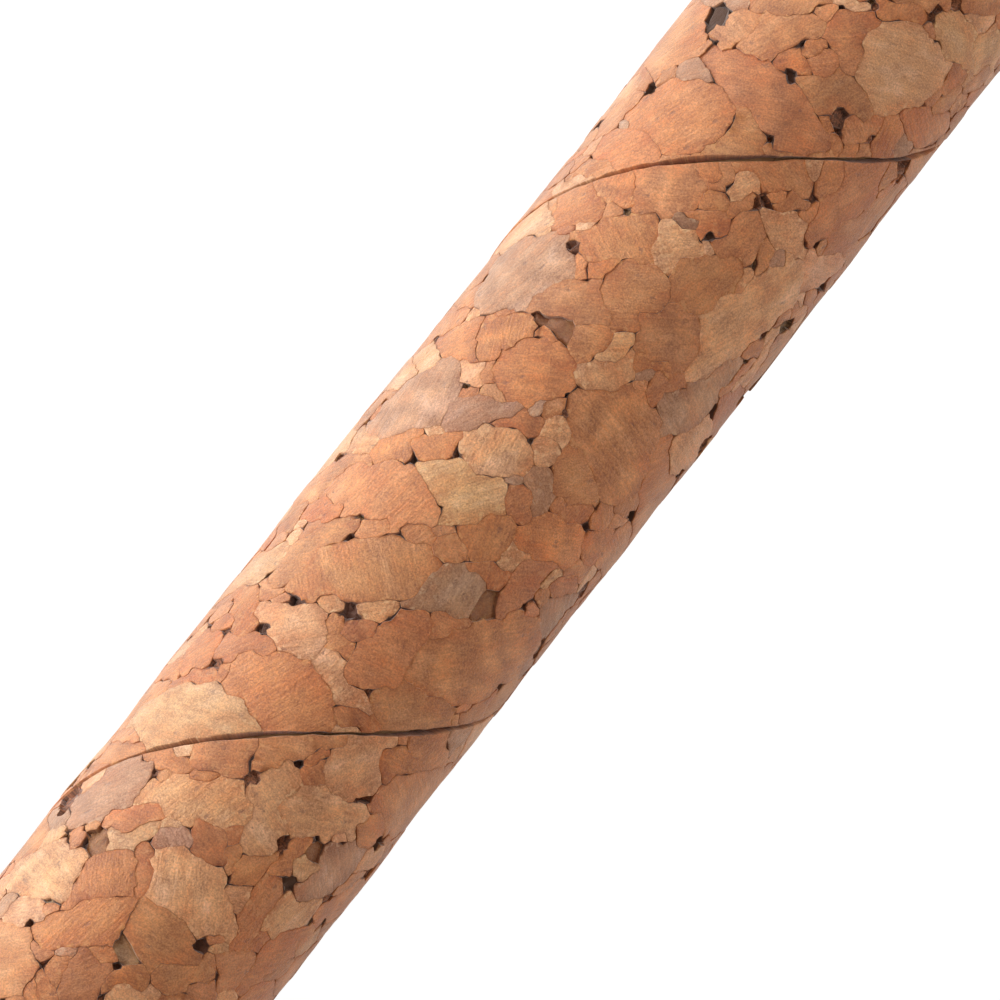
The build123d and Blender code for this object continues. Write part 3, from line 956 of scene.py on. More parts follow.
# ======================================= shared finishes ========================================
def cork_grain_group():
    """Colour, roughness and height of cork granules, from the attributes that cork_skin writes."""
    inputs = {"Grain": (0.0, 0.0, 0.0), "Tint": rgba((0.5, 0.2, 0.08)), "Gap": 0.0}
    inputs |= {"Speckle": 0.25, "Streaks": 0.15, "Bands": 0.17, "Blush": 0.75, "Cream": 1.0, "Specks": 0.45}
    outputs = {"Colour": "Color", "Roughness": "Float", "Height": "Float"}
    tree, given, result = new_group("cork_grain", inputs, outputs)
    grain, tint, gap = given["Grain"], given["Tint"], given["Gap"]
    own = stretch(tree, grain, (1.0, 1.0, 60.0))
    parts = put(tree, "ShaderNodeSeparateXYZ", {0: grain})
    cells = noise(tree, own, 4.2, 4.0, 0.72)
    fine = noise(tree, own, 6.5, 1.0, 0.6)
    speck = plus(tree, remap(tree, cells, 0.28, 0.72, -0.8, 0.8), remap(tree, fine, 0.3, 0.7, -1.0, 1.0))
    speck = times(tree, speck, given["Speckle"])
    streak = noise(tree, stretch(tree, own, (0.55, 3.6, 1.0)), 1.0, 3.0, 0.6)
    streak = times(tree, remap(tree, streak, 0.3, 0.7, -1.0, 1.0), given["Streaks"])
    sway = noise(tree, own, 0.24, 2.0, 0.5)
    ring = plus(tree, times(tree, parts.outputs[0], 1.6), times(tree, sway, 11.0))
    share = times(tree, remap(tree, parts.outputs[2], 0.3, 0.9, 0.1, 1.0), given["Bands"])
    ring = times(tree, maths(tree, "SINE", ring), share)
    cloud = remap(tree, noise(tree, own, 0.36, 4.0, 0.6), 0.33, 0.67, -0.15, 0.15)
    light = plus(tree, plus(tree, speck, streak), plus(tree, ring, cloud))
    light = plus(tree, light, 1.0)
    colour = tinted(tree, tint, light)
    brown = remap(tree, light, 0.62, 1.0, 0.75, 0.0)
    colour = mix(tree, brown, colour, tinted(tree, colour, rgba((1.16, 0.96, 0.80))))
    blush = noise(tree, stretch(tree, own, (0.7, 1.3, 1.0)), 0.30, 4.0, 0.62)
    warm = times(tree, remap(tree, blush, 0.50, 0.64, 0.0, 1.0), given["Blush"])
    colour = mix(tree, warm, colour, tinted(tree, colour, rgba((0.95, 0.75, 0.57))))
    pale = times(tree, remap(tree, blush, 0.37, 0.47, 1.0, 0.0), given["Cream"])
    colour = mix(tree, pale, colour, tinted(tree, colour, rgba((1.10, 1.22, 1.48))))

    pores = {"Vector": stretch(tree, own, (0.55, 0.95, 1.0)), "Scale": 0.62}
    pores = put(tree, "ShaderNodeTexVoronoi", pores)
    edge = plus(tree, pores.outputs["Distance"], remap(tree, cells, 0.3, 0.7, -0.08, 0.08))
    pore = times(tree, remap(tree, edge, 0.05, 0.12, 1.0, 0.0, smooth=True), given["Specks"])
    colour = mix(tree, pore, colour, rgba((0.150, 0.050, 0.028)))
    line = maths(tree, "ABSOLUTE", minus(tree, noise(tree, own, 0.5, 4.0, 0.66, 0.8), 0.5))
    where = remap(tree, noise(tree, own, 0.5, 1.0), 0.52, 0.62, 0.0, 0.7)
    hair = times(tree, remap(tree, line, 0.0, 0.010, 1.0, 0.0), where)
    colour = mix(tree, hair, colour, tinted(tree, tint, rgba((0.40, 0.27, 0.22))))

    edge = remap(tree, gap, 0.0, 0.14, 0.0, 0.5)
    colour = mix(tree, edge, colour, tinted(tree, colour, rgba((0.86, 0.70, 0.58))))
    # painted shade: the lips and walls of the cracks turn darker brown as the gap value rises, that is, as
    # the crack widens
    fades = remap(tree, noise(tree, own, 0.33, 2.0, 0.5), 0.38, 0.60, 0.12, 0.52)
    rim = times(tree, remap(tree, gap, 0.14, 0.50, 0.0, 1.0, smooth=True), fades)
    colour = mix(tree, rim, colour, tinted(tree, tint, rgba((0.42, 0.27, 0.20))))
    beside = times(tree, remap(tree, gap, 0.05, 0.2, 0.0, 1.0), remap(tree, gap, 0.5, 0.7, 1.0, 0.0))
    flake = times(tree, remap(tree, noise(tree, own, 1.5, 3.0, 0.7), 0.56, 0.62, 0.0, 0.8), beside)
    colour = mix(tree, flake, colour, tinted(tree, tint, rgba((1.22, 1.42, 1.62))))
    # painted shade: the floors of wide cracks and of pits are painted near black; where a pit's own tint is
    # dark, that tint with crumbs is used instead
    deep = remap(tree, gap, 0.55, 0.95, 0.0, 1.0, smooth=True)
    dark = mix(tree, 0.5, rgba((0.085, 0.033, 0.018)), tinted(tree, tint, rgba((0.2, 0.15, 0.12))))
    in_pit = remap(tree, put(tree, "ShaderNodeSeparateColor", {0: tint}).outputs[0], 0.26, 0.36, 1.0, 0.0)
    crumbs = remap(tree, cells, 0.46, 0.62, 0.6, 2.0)
    dark = mix(tree, in_pit, dark, tinted(tree, tint, crumbs))
    colour = mix(tree, deep, colour, dark)
    tree.links.new(colour, result["Colour"])
    rough = remap(tree, cells, 0.3, 0.7, 0.52, 0.74)
    rough = plus(tree, rough, remap(tree, gap, 0.15, 0.6, 0.0, 0.45))
    tree.links.new(maths(tree, "MINIMUM", rough, 1.0), result["Roughness"])
    height = plus(tree, times(tree, cells, 0.9), times(tree, streak, 1.2))
    tree.links.new(minus(tree, height, times(tree, pore, 0.5)), result["Height"])


def lathe_marks_group():
    """Fine lines round the Z axis, such as a lathe tool leaves."""
    inputs = {"Place": (0.0, 0.0, 0.0), "Lines": 6.0}
    tree, given, result = new_group("lathe_marks", inputs, {"Height": "Float", "Tone": "Float"})
    parts = put(tree, "ShaderNodeSeparateXYZ", {0: given["Place"]})
    flat = put(tree, "ShaderNodeCombineXYZ", {0: parts.outputs[0], 1: parts.outputs[1]}).outputs[0]
    radius = put(tree, "ShaderNodeVectorMath", {0: flat}, operation="LENGTH").outputs["Value"]
    spot = put(tree, "ShaderNodeCombineXYZ", {0: radius, 1: parts.outputs[2]}).outputs[0]
    wander = stretch(tree, given["Place"], (0.02, 0.02, 0.0))
    spot = put(tree, "ShaderNodeVectorMath", {0: spot, 1: wander}).outputs[0]
    fine = noise(tree, spot, given["Lines"], 3.0, 0.7)
    broad = noise(tree, spot, 0.9, 2.0, 0.5)
    tree.links.new(plus(tree, fine, times(tree, broad, 0.4)), result["Height"])
    tree.links.new(remap(tree, fine, 0.3, 0.7, -1.0, 1.0), result["Tone"])


def handling_group():
    """Signs of use: thin crossing scratches, and the smudges and dust of hands."""
    inputs = {"Place": (0.0, 0.0, 0.0), "Scratches": 0.5, "Smudges": 0.5}
    tree, given, result = new_group("handling", inputs, {"Scratch": "Float", "Smudge": "Float"})
    place = given["Place"]
    total = None
    for turn, scale in ((0.5, (0.10, 1.9, 0.5)), (2.1, (1.6, 0.12, 0.4)), (1.2, (0.5, 0.4, 1.7))):
        turned = {"Vector": place, "Angle": turn, "Axis": (0.3, 0.5, 0.8)}
        turned = put(tree, "ShaderNodeVectorRotate", turned)
        bent = noise(tree, stretch(tree, turned.outputs[0], scale), 0.9, 2.0, 0.4, 0.4)
        thin = maths(tree, "ABSOLUTE", minus(tree, bent, 0.5))
        cut = times(tree, remap(tree, thin, 0.0, 0.006, 1.0, 0.0), remap(tree, bent, 0.35, 0.65, 0.3, 1.0))
        total = cut if total is None else maths(tree, "MAXIMUM", total, cut)
    patchy = remap(tree, noise(tree, place, 0.21, 2.0, 0.5), 0.46, 0.62, 0.0, 1.0)
    scratch = times(tree, times(tree, total, patchy), given["Scratches"])
    tree.links.new(scratch, result["Scratch"])
    smudge = remap(tree, noise(tree, place, 0.11, 5.0, 0.62), 0.40, 0.64, 0.0, 1.0)
    tree.links.new(times(tree, smudge, given["Smudges"]), result["Smudge"])


def beech_group():
    """Steamed beech: soft growth rings, fine pores along the grain, and short dark rays."""
    inputs = {"Place": (0.0, 0.0, 0.0), "Pale": rgba((0.62, 0.40, 0.22)), "Dark": rgba((0.42, 0.22, 0.10))}
    inputs |= {"Ring width": 2.6, "Rays": 0.7}
    outputs = {"Colour": "Color", "Height": "Float", "Tone": "Float"}
    tree, given, result = new_group("beech_grain", inputs, outputs)
    place = given["Place"]
    bend = noise(tree, stretch(tree, place, (1.0, 1.0, 0.25)), 0.045, 3.0, 0.5)
    parts = put(tree, "ShaderNodeSeparateXYZ", {0: place})
    x = plus(tree, parts.outputs[0], 37.0)
    y = plus(tree, parts.outputs[1], 16.0)
    away = maths(tree, "SQRT", plus(tree, times(tree, x, x), times(tree, y, y)))
    away = plus(tree, away, times(tree, bend, 14.0))
    ring = maths(tree, "FRACT", maths(tree, "DIVIDE", away, given["Ring width"]))
    ring = maths(tree, "POWER", ring, 2.2)
    pores = noise(tree, stretch(tree, place, (5.5, 5.5, 0.35)), 1.0, 3.0, 0.6)
    tone = plus(tree, times(tree, ring, 0.42), remap(tree, pores, 0.35, 0.68, 0.0, 0.40))
    tone = plus(tree, tone, remap(tree, noise(tree, place, 0.05, 3.0), 0.35, 0.65, -0.08, 0.16))
    colour = mix(tree, tone, given["Pale"], given["Dark"])
    rays = put(tree, "ShaderNodeTexVoronoi", {"Vector": stretch(tree, place, (2.1, 2.1, 0.42)), "Scale": 1.0})
    ray = remap(tree, rays.outputs["Distance"], 0.10, 0.24, 1.0, 0.0, smooth=True)
    ray = times(tree, ray, given["Rays"])
    colour = mix(tree, ray, colour, tinted(tree, given["Dark"], rgba((0.72, 0.62, 0.58))))
    tree.links.new(colour, result["Colour"])
    tree.links.new(minus(tree, times(tree, pores, 0.6), ray), result["Height"])
    tree.links.new(tone, result["Tone"])


def cork_material(name, **values):
    """Cork granules, each with its own colour and grain, with painted shade in the cracks and pits between
    them.
    """
    material, tree, shader = new_material(name)
    grain = put(tree, "ShaderNodeAttribute", attribute_name="grain").outputs["Vector"]
    tint = put(tree, "ShaderNodeAttribute", attribute_name="tint").outputs["Color"]
    gap = put(tree, "ShaderNodeAttribute", attribute_name="gap").outputs["Fac"]
    cork = use(tree, "cork_grain", Grain=grain, Tint=tint, Gap=gap, **values)
    finish(tree, shader, cork["Colour"], cork["Roughness"], cork["Height"], 0.6, 0.14)
    shader.inputs["Specular IOR Level"].default_value = 0.75
    shader.inputs["Sheen Weight"].default_value = 0.46
    shader.inputs["Sheen Roughness"].default_value = 0.45
    return material


def beech_material(name, pale, dark, bare=False):
    """Turned and oiled beech, or bare beech for the hidden dowel."""
    material, tree, shader = new_material(name)
    place = place_in_mm(tree)
    wood = use(tree, "beech_grain", Place=place, Pale=rgba(pale), Dark=rgba(dark))
    marks = use(tree, "lathe_marks", Place=place, Lines=3.5)
    used = use(tree, "handling", Place=place, Scratches=0.35, Smudges=0.0 if bare else 0.5)
    colour = mix(tree, times(tree, used["Smudge"], 0.22), wood["Colour"], rgba((0.30, 0.16, 0.07)))
    colour = mix(tree, times(tree, used["Scratch"], 0.4), colour, rgba((0.66, 0.46, 0.28)))
    low, high = (0.60, 0.75) if bare else (0.34, 0.48)
    rough = plus(tree, remap(tree, wood["Tone"], 0.0, 0.8, low, high), times(tree, used["Smudge"], 0.10))
    shader.inputs["Coat Roughness"].default_value = 0.30
    shader.inputs["Coat Weight"].default_value = 0.0 if bare else 0.22
    height = plus(tree, times(tree, wood["Height"], 0.5), times(tree, marks["Height"], 0.35))
    height = minus(tree, height, times(tree, used["Scratch"], 0.5))
    finish(tree, shader, colour, rough, height, 0.30, 0.05)
    return material


def metal_material(name, colour, dull, lines, rough):
    """Turned metal with lathe lines, a few scratches, and a duller bloom where hands reach."""
    material, tree, shader = new_material(name)
    place = place_in_mm(tree)
    marks = use(tree, "lathe_marks", Place=place, Lines=lines)
    used = use(tree, "handling", Place=place, Scratches=0.6, Smudges=0.6)
    shade = remap(tree, marks["Tone"], -1.0, 1.0, 0.0, 0.30)
    shade = plus(tree, shade, times(tree, used["Smudge"], 0.30))
    bright = rgba([min(1.0, c * 1.15) for c in colour])
    base = mix(tree, times(tree, used["Scratch"], 0.5), mix(tree, shade, rgba(colour), rgba(dull)), bright)
    shader.inputs["Metallic"].default_value = 1.0
    value = remap(tree, marks["Tone"], -1.0, 1.0, rough - 0.05, rough + 0.05)
    value = plus(tree, value, times(tree, used["Smudge"], 0.14))
    finish(tree, shader, base, value, minus(tree, marks["Height"], used["Scratch"]), 0.25, 0.03)
    return material


def moulded_material(name, colour, worn, rough, pebble):
    """Moulded rubber or plastic: a finely pebbled skin with rubbed and dusty patches."""
    material, tree, shader = new_material(name)
    place = place_in_mm(tree)
    used = use(tree, "handling", Place=place, Scratches=0.4, Smudges=0.8)
    skin = noise(tree, place, 3.2, 3.0, 0.6)
    flow = noise(tree, stretch(tree, place, (0.4, 0.4, 1.1)), 0.16, 3.0, 0.5)
    tone = plus(tree, remap(tree, skin, 0.35, 0.65, 0.0, 0.18), remap(tree, flow, 0.4, 0.6, 0.0, 0.15))
    tone = plus(tree, tone, times(tree, used["Smudge"], 0.35))
    base = mix(tree, plus(tree, tone, times(tree, used["Scratch"], 0.4)), rgba(colour), rgba(worn))
    value = remap(tree, skin, 0.35, 0.65, rough - 0.05, rough + 0.06)
    value = plus(tree, value, times(tree, used["Smudge"], 0.12))
    finish(tree, shader, base, value, minus(tree, skin, times(tree, used["Scratch"], 0.6)), pebble, 0.05)
    return material


FINISHES = {
    "cork_grain": cork_grain_group,
    "lathe_marks": lathe_marks_group,
    "handling": handling_group,
    "beech_grain": beech_group,
}


# ===================================== turned and moulded pieces ================================
def soften(mesh, width, sharp=30.0):
    """Joins a mesh's loose triangles, rounds its sharp edges, and stops if it isn't closed."""
    work = bmesh.new()
    work.from_mesh(mesh)
    bmesh.ops.remove_doubles(work, verts=work.verts, dist=0.001 * MM)
    bmesh.ops.dissolve_limit(work, angle_limit=math.radians(0.2), verts=work.verts, edges=work.edges)
    limit = math.radians(sharp)
    edges = [e for e in work.edges if len(e.link_faces) == 2 and e.calc_face_angle() > limit]
    rounding = {"offset": width, "offset_type": "OFFSET", "segments": 3, "profile": 0.5, "affect": "EDGES"}
    bmesh.ops.bevel(work, geom=edges, clamp_overlap=True, **rounding)
    bmesh.ops.remove_doubles(work, verts=work.verts, dist=0.0005 * MM)
    bmesh.ops.triangulate(work, faces=[f for f in work.faces if len(f.verts) > 4])
    if any(len(e.link_faces) != 2 for e in work.edges):
        raise RuntimeError(mesh.name + " isn't closed")
    if work.calc_volume(signed=True) < 0:
        raise RuntimeError(mesh.name + " is inside out")
    work.to_mesh(mesh)
    work.free()
    mesh.shade_smooth()
    mesh.set_sharp_from_angle(angle=math.radians(40))


def softened_copy(node, name, width, material, body, slot):
    """The CAD piece with its edges rounded, in place of the CAD node."""
    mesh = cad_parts[node].data.copy()
    mesh.name = name
    mesh.materials.clear()
    soften(mesh, width)
    made = bpy.data.objects.new(name, mesh)
    bpy.context.scene.collection.objects.link(made)
    mesh.materials.append(material)
    settle_piece(made, body, slot, node)


def settle_piece(made, body, slot, *nodes):
    """Says which body a piece rides on and the CAD nodes that it stands for; the slot is not used."""
    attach(made, body)
    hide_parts(*nodes)


def paint_node(node, material):
    """Gives a CAD piece that is shown as it is its own finish."""
    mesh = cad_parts[node].data
    mesh.materials.clear()
    mesh.materials.append(material)


# ======================================== ring screws ===========================================
SCREW_SIZES = {  # the inputs that are lengths, and what they are where nothing else is given
    "Circle radius": 36.25 * MM,
    "Head radius": 2.5 * MM,
    "Shank radius": 1.25 * MM,
    "Head height": 1.25 * MM,
    "Length": 12.0 * MM,
    "Key size": 1.5 * MM,
    "Key depth": 0.9 * MM,
    "Top height": 281.6 * MM,
}


def moved_up(tree, shape, height):
    """A shape moved along Z by a height, which is below 0 to move it down."""
    step = put(tree, "ShaderNodeCombineXYZ", {2: height}).outputs[0]
    return put(tree, "GeometryNodeTransform", {"Geometry": shape, "Translation": step}).outputs[0]


def ring_screw_tree():
    """Countersunk screws with hexagon keys on a circle; every length is an input."""
    tree = bpy.data.node_groups.new("ring_screw_circle", "GeometryNodeTree")
    tree.is_modifier = True
    for label, default in SCREW_SIZES.items():
        made = tree.interface.new_socket(label, in_out="INPUT", socket_type="NodeSocketFloat")
        made.default_value, made.subtype = default, "DISTANCE"
    for label, default in (("Screws", 6), ("Seed", 4)):
        made = tree.interface.new_socket(label, in_out="INPUT", socket_type="NodeSocketInt")
        made.default_value = default
    tree.interface.new_socket("Material", in_out="INPUT", socket_type="NodeSocketMaterial")
    tree.interface.new_socket("Screws", in_out="OUTPUT", socket_type="NodeSocketGeometry")
    given = tree.nodes.new("NodeGroupInput").outputs
    head_height, shank_r = given["Head height"], given["Shank radius"]

    cone = {"Radius Top": given["Head radius"], "Radius Bottom": shank_r, "Depth": head_height}
    cone |= {"Vertices": 40}
    head = put(tree, "GeometryNodeMeshCone", cone).outputs["Mesh"]
    head = moved_up(tree, head, times(tree, head_height, -1.0))
    half_head = times(tree, head_height, 0.5)  # the shank starts inside the head, halfway down it
    core = {"Vertices": 28, "Radius": times(tree, shank_r, 0.97)}
    core |= {"Depth": minus(tree, given["Length"], half_head)}
    shank = put(tree, "GeometryNodeMeshCylinder", core).outputs["Mesh"]
    shank = moved_up(tree, shank, times(tree, plus(tree, given["Length"], half_head), -0.5))
    corner_r = maths(tree, "DIVIDE", given["Key size"], math.sqrt(3))
    key = {"Vertices": 6, "Radius": corner_r, "Depth": times(tree, given["Key depth"], 2.0)}
    key = put(tree, "GeometryNodeMeshCylinder", key).outputs["Mesh"]
    whole = put(tree, "GeometryNodeMeshBoolean", {"Mesh 2": head}, operation="UNION", solver="EXACT")
    tree.links.new(shank, whole.inputs["Mesh 2"])
    cut = {"Mesh 1": whole.outputs["Mesh"], "Mesh 2": key}
    cut = put(tree, "GeometryNodeMeshBoolean", cut, operation="DIFFERENCE", solver="EXACT")

    spots = {"Vertices": given["Screws"], "Radius": given["Circle radius"]}
    spots = put(tree, "GeometryNodeMeshCircle", spots).outputs[0]
    spots = moved_up(tree, spots, given["Top height"])
    turn = {"Min": (0.0, 0.0, 0.0), "Max": (0.0, 0.0, 1.04), "Seed": given["Seed"]}
    turn = put(tree, "FunctionNodeRandomValue", turn, data_type="FLOAT_VECTOR").outputs[0]
    rows = {"Points": spots, "Instance": cut.outputs["Mesh"], "Rotation": turn}
    rows = put(tree, "GeometryNodeInstanceOnPoints", rows).outputs[0]
    real = put(tree, "GeometryNodeRealizeInstances", {0: rows}).outputs[0]
    shown = put(tree, "GeometryNodeSetMaterial", {"Geometry": real, "Material": given["Material"]}).outputs[0]
    tree.links.new(shown, tree.nodes.new("NodeGroupOutput").inputs[0])
    return tree


def grown_mesh(name, tree, values):
    """Runs a Geometry Nodes tree with the given inputs and returns its result as a plain mesh object."""
    made = bpy.data.objects.new(name, bpy.data.meshes.new(name))
    bpy.context.scene.collection.objects.link(made)
    modifier = made.modifiers.new("grown", "NODES")
    modifier.node_group = tree
    for item in tree.interface.items_tree:
        if item.in_out == "INPUT" and item.name in values:
            modifier[item.identifier] = values[item.name]
    bpy.context.view_layer.update()
    seen = made.evaluated_get(bpy.context.evaluated_depsgraph_get())
    mesh = bpy.data.meshes.new_from_object(seen)
    made.modifiers.remove(modifier)
    mesh.materials.clear()
    mesh.materials.append(values["Material"])
    mesh.polygons.foreach_set("material_index", [0] * len(mesh.polygons))
    made.data = mesh
    mesh.name = name
    return made


# ============================================ stage =============================================
def aim(thing, place, ahead, above):
    """Places a lamp or camera so that it looks along one direction with another one upwards."""
    back = -Vector(ahead).normalized()
    side = Vector(above).cross(back).normalized()
    turned = Matrix((side, back.cross(side), back)).transposed().to_4x4()
    thing.matrix_world = Matrix.Translation(place) @ turned


def lamp(name, place, target, size, power, colour):
    """A rectangular lamp that points at a target and that no camera sees."""
    data = bpy.data.lights.new(name, "AREA")
    data.shape, data.size, data.size_y = "RECTANGLE", *size
    data.energy, data.color = power, colour
    made = bpy.data.objects.new(name, data)
    made.visible_camera = False
    bpy.context.scene.collection.objects.link(made)
    aim(made, place, Vector(target) - Vector(place), (0, 0, 1))


def studio(look, pitch):
    """Camera on the middle of the grip, a large soft lamp at its left, and a pale floor."""
    scene = bpy.context.scene
    scene.view_settings.view_transform = "Standard"
    middle = Vector((0, 0, GRIP_MID_Z * MM))
    lead = winding(pitch / MM)[1]
    turn = 2 * math.pi * ((GRIP_MID_Z + SEAM_HEIGHT - STRIP_Z) / lead + STRIP_START)
    out = Vector((math.cos(turn), math.sin(turn), 0))
    sight = -(out * math.cos(look.tilt) + Vector((0, 0, math.sin(look.tilt))))
    side = sight.cross((0, 0, 1)).normalized()
    up = side.cross(sight)
    right = -math.sin(look.lean) * up - math.cos(look.lean) * side
    top = -math.cos(look.lean) * up + math.sin(look.lean) * side
    data = bpy.data.cameras.new("camera")
    data.lens, data.sensor_width = look.lens, 36.0
    data.clip_start, data.clip_end = 0.05, 30
    camera = bpy.data.objects.new("camera", data)
    scene.collection.objects.link(camera)
    aim(camera, middle - sight * look.distance + right * look.aside, sight, top)
    scene.camera = camera

    world = bpy.data.worlds.new("studio")
    world.use_nodes = True
    sky = world.node_tree
    seen = put(sky, "ShaderNodeLightPath").outputs["Is Camera Ray"]
    background = sky.nodes["Background"].inputs
    sky.links.new(mix(sky, seen, rgba(look.fill_colour), rgba((1.0, 1.0, 1.0))), background["Color"])
    sky.links.new(remap(sky, seen, 0.0, 1.0, look.fill, 1.0), background["Strength"])
    scene.world = world
    near = middle - right * 1.0 + top * 0.1 - sight * 0.24
    lamp("key", near, middle, (0.7, 1.8), look.key, look.key_colour)
    behind = middle + right * 0.9 - top * 0.2 + sight * 0.25 + Vector((0, 0, 0.3))
    lamp("rim", behind, middle, (0.4, 0.8), look.rim, look.fill_colour)
    floor = bpy.data.meshes.new("floor")
    corners = [(-6, -6), (6, -6), (6, 6), (-6, 6)]
    floor.from_pydata([(x, y, -0.1 * MM) for x, y in corners], [], [(0, 1, 2, 3)])
    made = bpy.data.objects.new("floor", floor)
    scene.collection.objects.link(made)
    material, tree, shader = new_material("floor")
    shader.inputs["Base Color"].default_value = (0.9, 0.9, 0.9, 1)
    shader.inputs["Roughness"].default_value = 0.9
    seen = put(tree, "ShaderNodeLightPath").outputs["Is Camera Ray"]
    glow = put(tree, "ShaderNodeEmission", {"Strength": 1.14})
    both = put(tree, "ShaderNodeMixShader", {0: times(tree, seen, 0.8), 1: shader.outputs[0]})
    tree.links.new(glow.outputs[0], both.inputs[2])
    below = put(tree, "ShaderNodeNewGeometry").outputs["Backfacing"]
    clear = put(tree, "ShaderNodeMixShader", {0: below, 1: both.outputs[0]})
    tree.links.new(put(tree, "ShaderNodeBsdfTransparent").outputs[0], clear.inputs[2])
    tree.links.new(clear.outputs[0], tree.nodes["Material Output"].inputs[0])
    floor.materials.append(material)


# =========================================== settings ===========================================
def setting(kind, name, description, default, **limits):
    """A property of the panel."""
    maker = getattr(bpy.props, kind + "Property")
    return maker(name=name, description=description, default=default, **limits)


def length(*said):
    return setting("Float", *said, unit="LENGTH", precision=5)


def angle(name, description, degrees):
    return setting("Float", name, description, math.radians(degrees), subtype="ANGLE")


def colour(*said):
    return setting("FloatVector", *said, subtype="COLOR", size=3, min=0.0, max=1.0)


def number(*said):
    return setting("Float", *said, precision=4)


def count(*said):
    return setting("Int", *said, min=0)


class CorkSettings(bpy.types.PropertyGroup):
    strip_pitch: length("Strip pitch", "Strip width and one seam gap, square to the strip's edges", 0.04955)
    seam_gap: length("Seam gap", "Gap between one turn of the strip and the next", 0.00038)
    wrap_pits: count("Wrap pits", "Pits tried for in the wrap", 400)
    ball_pits: count("Ball pits", "Pits tried for in the ball", 230)
    wrap_seed: count("Wrap seed", "Which arrangement of granules the wrap has", 20)
    ball_seed: count("Ball seed", "Which arrangement of granules the ball has", 7)
    tan: colour("Tan", "The commonest granules", (0.515, 0.204, 0.067))
    cream: colour("Cream", "Pale granules", (0.62, 0.314, 0.142))
    orange: colour("Orange", "Warm granules", (0.52, 0.190, 0.055))
    red_brown: colour("Red-brown", "Granules with bark in them", (0.46, 0.166, 0.052))
    grey_brown: colour("Grey-brown", "The dullest granules", (0.43, 0.214, 0.108))


class TurnedSettings(bpy.types.PropertyGroup):
    edge: length("Metal edge", "Rounding of the metal pieces' edges", 0.00012)
    wood_edge: length("Wood edge", "Rounding of the turned wood's edges", 0.0003)
    beech_pale: colour("Beech, pale", "Early wood", (0.63, 0.41, 0.225))
    beech_dark: colour("Beech, dark", "Late wood and rays", (0.45, 0.245, 0.115))
    aluminium: colour("Aluminium", "Satin ferrules and retaining ring", (0.66, 0.66, 0.67))
    steel: colour("Steel", "Screws, washers and pins", (0.60, 0.60, 0.61))
    brass: colour("Brass", "Threaded inserts", (0.78, 0.58, 0.27))
    silicone: colour("Silicone", "Foot pad and wiper ring", (0.070, 0.066, 0.062))
    seat_plastic: colour("Seat plastic", "Floating seat and thrust washer", (0.74, 0.73, 0.69))


class RingScrewSettings(bpy.types.PropertyGroup):
    screws: count("Screws", "Screws in the retaining ring", 6)
    key_size: length("Key size", "Hexagon key, across flats", 0.0015)
    key_depth: length("Key depth", "Depth of the hexagon key", 0.0009)
    seed: count("Seed", "How the keys are turned", 4)


class StudioSettings(bpy.types.PropertyGroup):
    lens: number("Lens", "Focal length in millimetres", 336.9)
    distance: length("Distance", "Camera to the middle of the grip", 0.803)
    aside: length("Aside", "Camera's shift across the picture", 0.00163)
    tilt: angle("Tilt", "Camera above level", 13.5)
    lean: angle("Lean", "Camera's roll", 38.2)
    key: number("Key", "Power of the large soft lamp, in watts", 24.6)
    rim: number("Rim", "Power of the lamp behind, in watts", 2.0)
    fill: number("Fill", "Strength of the light from all round", 0.31)
    key_colour: colour("Key colour", "Slightly cool", (0.91, 0.97, 1.0))
    fill_colour: colour("Fill colour", "Warm", (1.0, 0.80, 0.63))


class MassageBallSettings(bpy.types.PropertyGroup):
    cork: bpy.props.PointerProperty(type=CorkSettings)
    turned: bpy.props.PointerProperty(type=TurnedSettings)
    ring_screws: bpy.props.PointerProperty(type=RingScrewSettings)
    studio: bpy.props.PointerProperty(type=StudioSettings)


def cork_colours(cork):
    """The five colours of granules, in the order that cork_tints takes them."""
    return [list(c) for c in (cork.tan, cork.cream, cork.orange, cork.red_brown, cork.grey_brown)]


# =========================================== operators ==========================================
class WindCorkWrap(bpy.types.Operator):
    """Lay the granules of the cork strip and wind it round the handle"""

    bl_idname = "massage_ball.wind_cork_wrap"
    bl_label = "Cork wrap"

    def execute(self, context):
        cork = context.scene.massage_ball.cork
        rng = np.random.default_rng(cork.wrap_seed)
        look = {**WRAP_LOOK, "pits": cork.wrap_pits, "colours": cork_colours(cork)}
        strip = WoundStrip(rng, look["cell"], cork.strip_pitch / MM, cork.seam_gap / MM)
        made = cork_skin("cork_wrap", rng, strip, look)
        made.data.materials.append(cork_material("sanded_cork"))
        settle_piece(made, "handle", "cork_wrap", "cork_strip")
        return {"FINISHED"}


class TurnCorkBall(bpy.types.Operator):
    """Lay the granules of the solid cork ball"""

    bl_idname = "massage_ball.turn_cork_ball"
    bl_label = "Cork ball"

    def execute(self, context):
        cork = context.scene.massage_ball.cork
        rng = np.random.default_rng(cork.ball_seed)
        look = {**BALL_LOOK, "pits": cork.ball_pits, "colours": cork_colours(cork)}
        made = cork_skin("cork_ball", rng, CorkSphere(6), look)
        values = {"Speckle": 0.17, "Bands": 0.10, "Blush": 0.6, "Cream": 0.7, "Specks": 0.6}
        made.data.materials.append(cork_material("polished_cork", **values))
        settle_piece(made, "ball", "cork_ball", "massage_ball")
        return {"FINISHED"}


class TurnBeech(bpy.types.Operator):
    """Turn the knob, the cup and the dowel in beech"""

    bl_idname = "massage_ball.turn_beech"
    bl_label = "Beech knob, cup and dowel"

    def execute(self, context):
        look = context.scene.massage_ball.turned
        oiled = beech_material("oiled_beech", look.beech_pale, look.beech_dark)
        softened_copy("tail_knob", "beech_knob", look.wood_edge, oiled, "handle", "beech")
        softened_copy("socket_cup", "beech_cup", look.wood_edge, oiled, "handle", "beech")
        paint_node("handle_core", beech_material("bare_beech", look.beech_pale, look.beech_dark, bare=True))
        return {"FINISHED"}


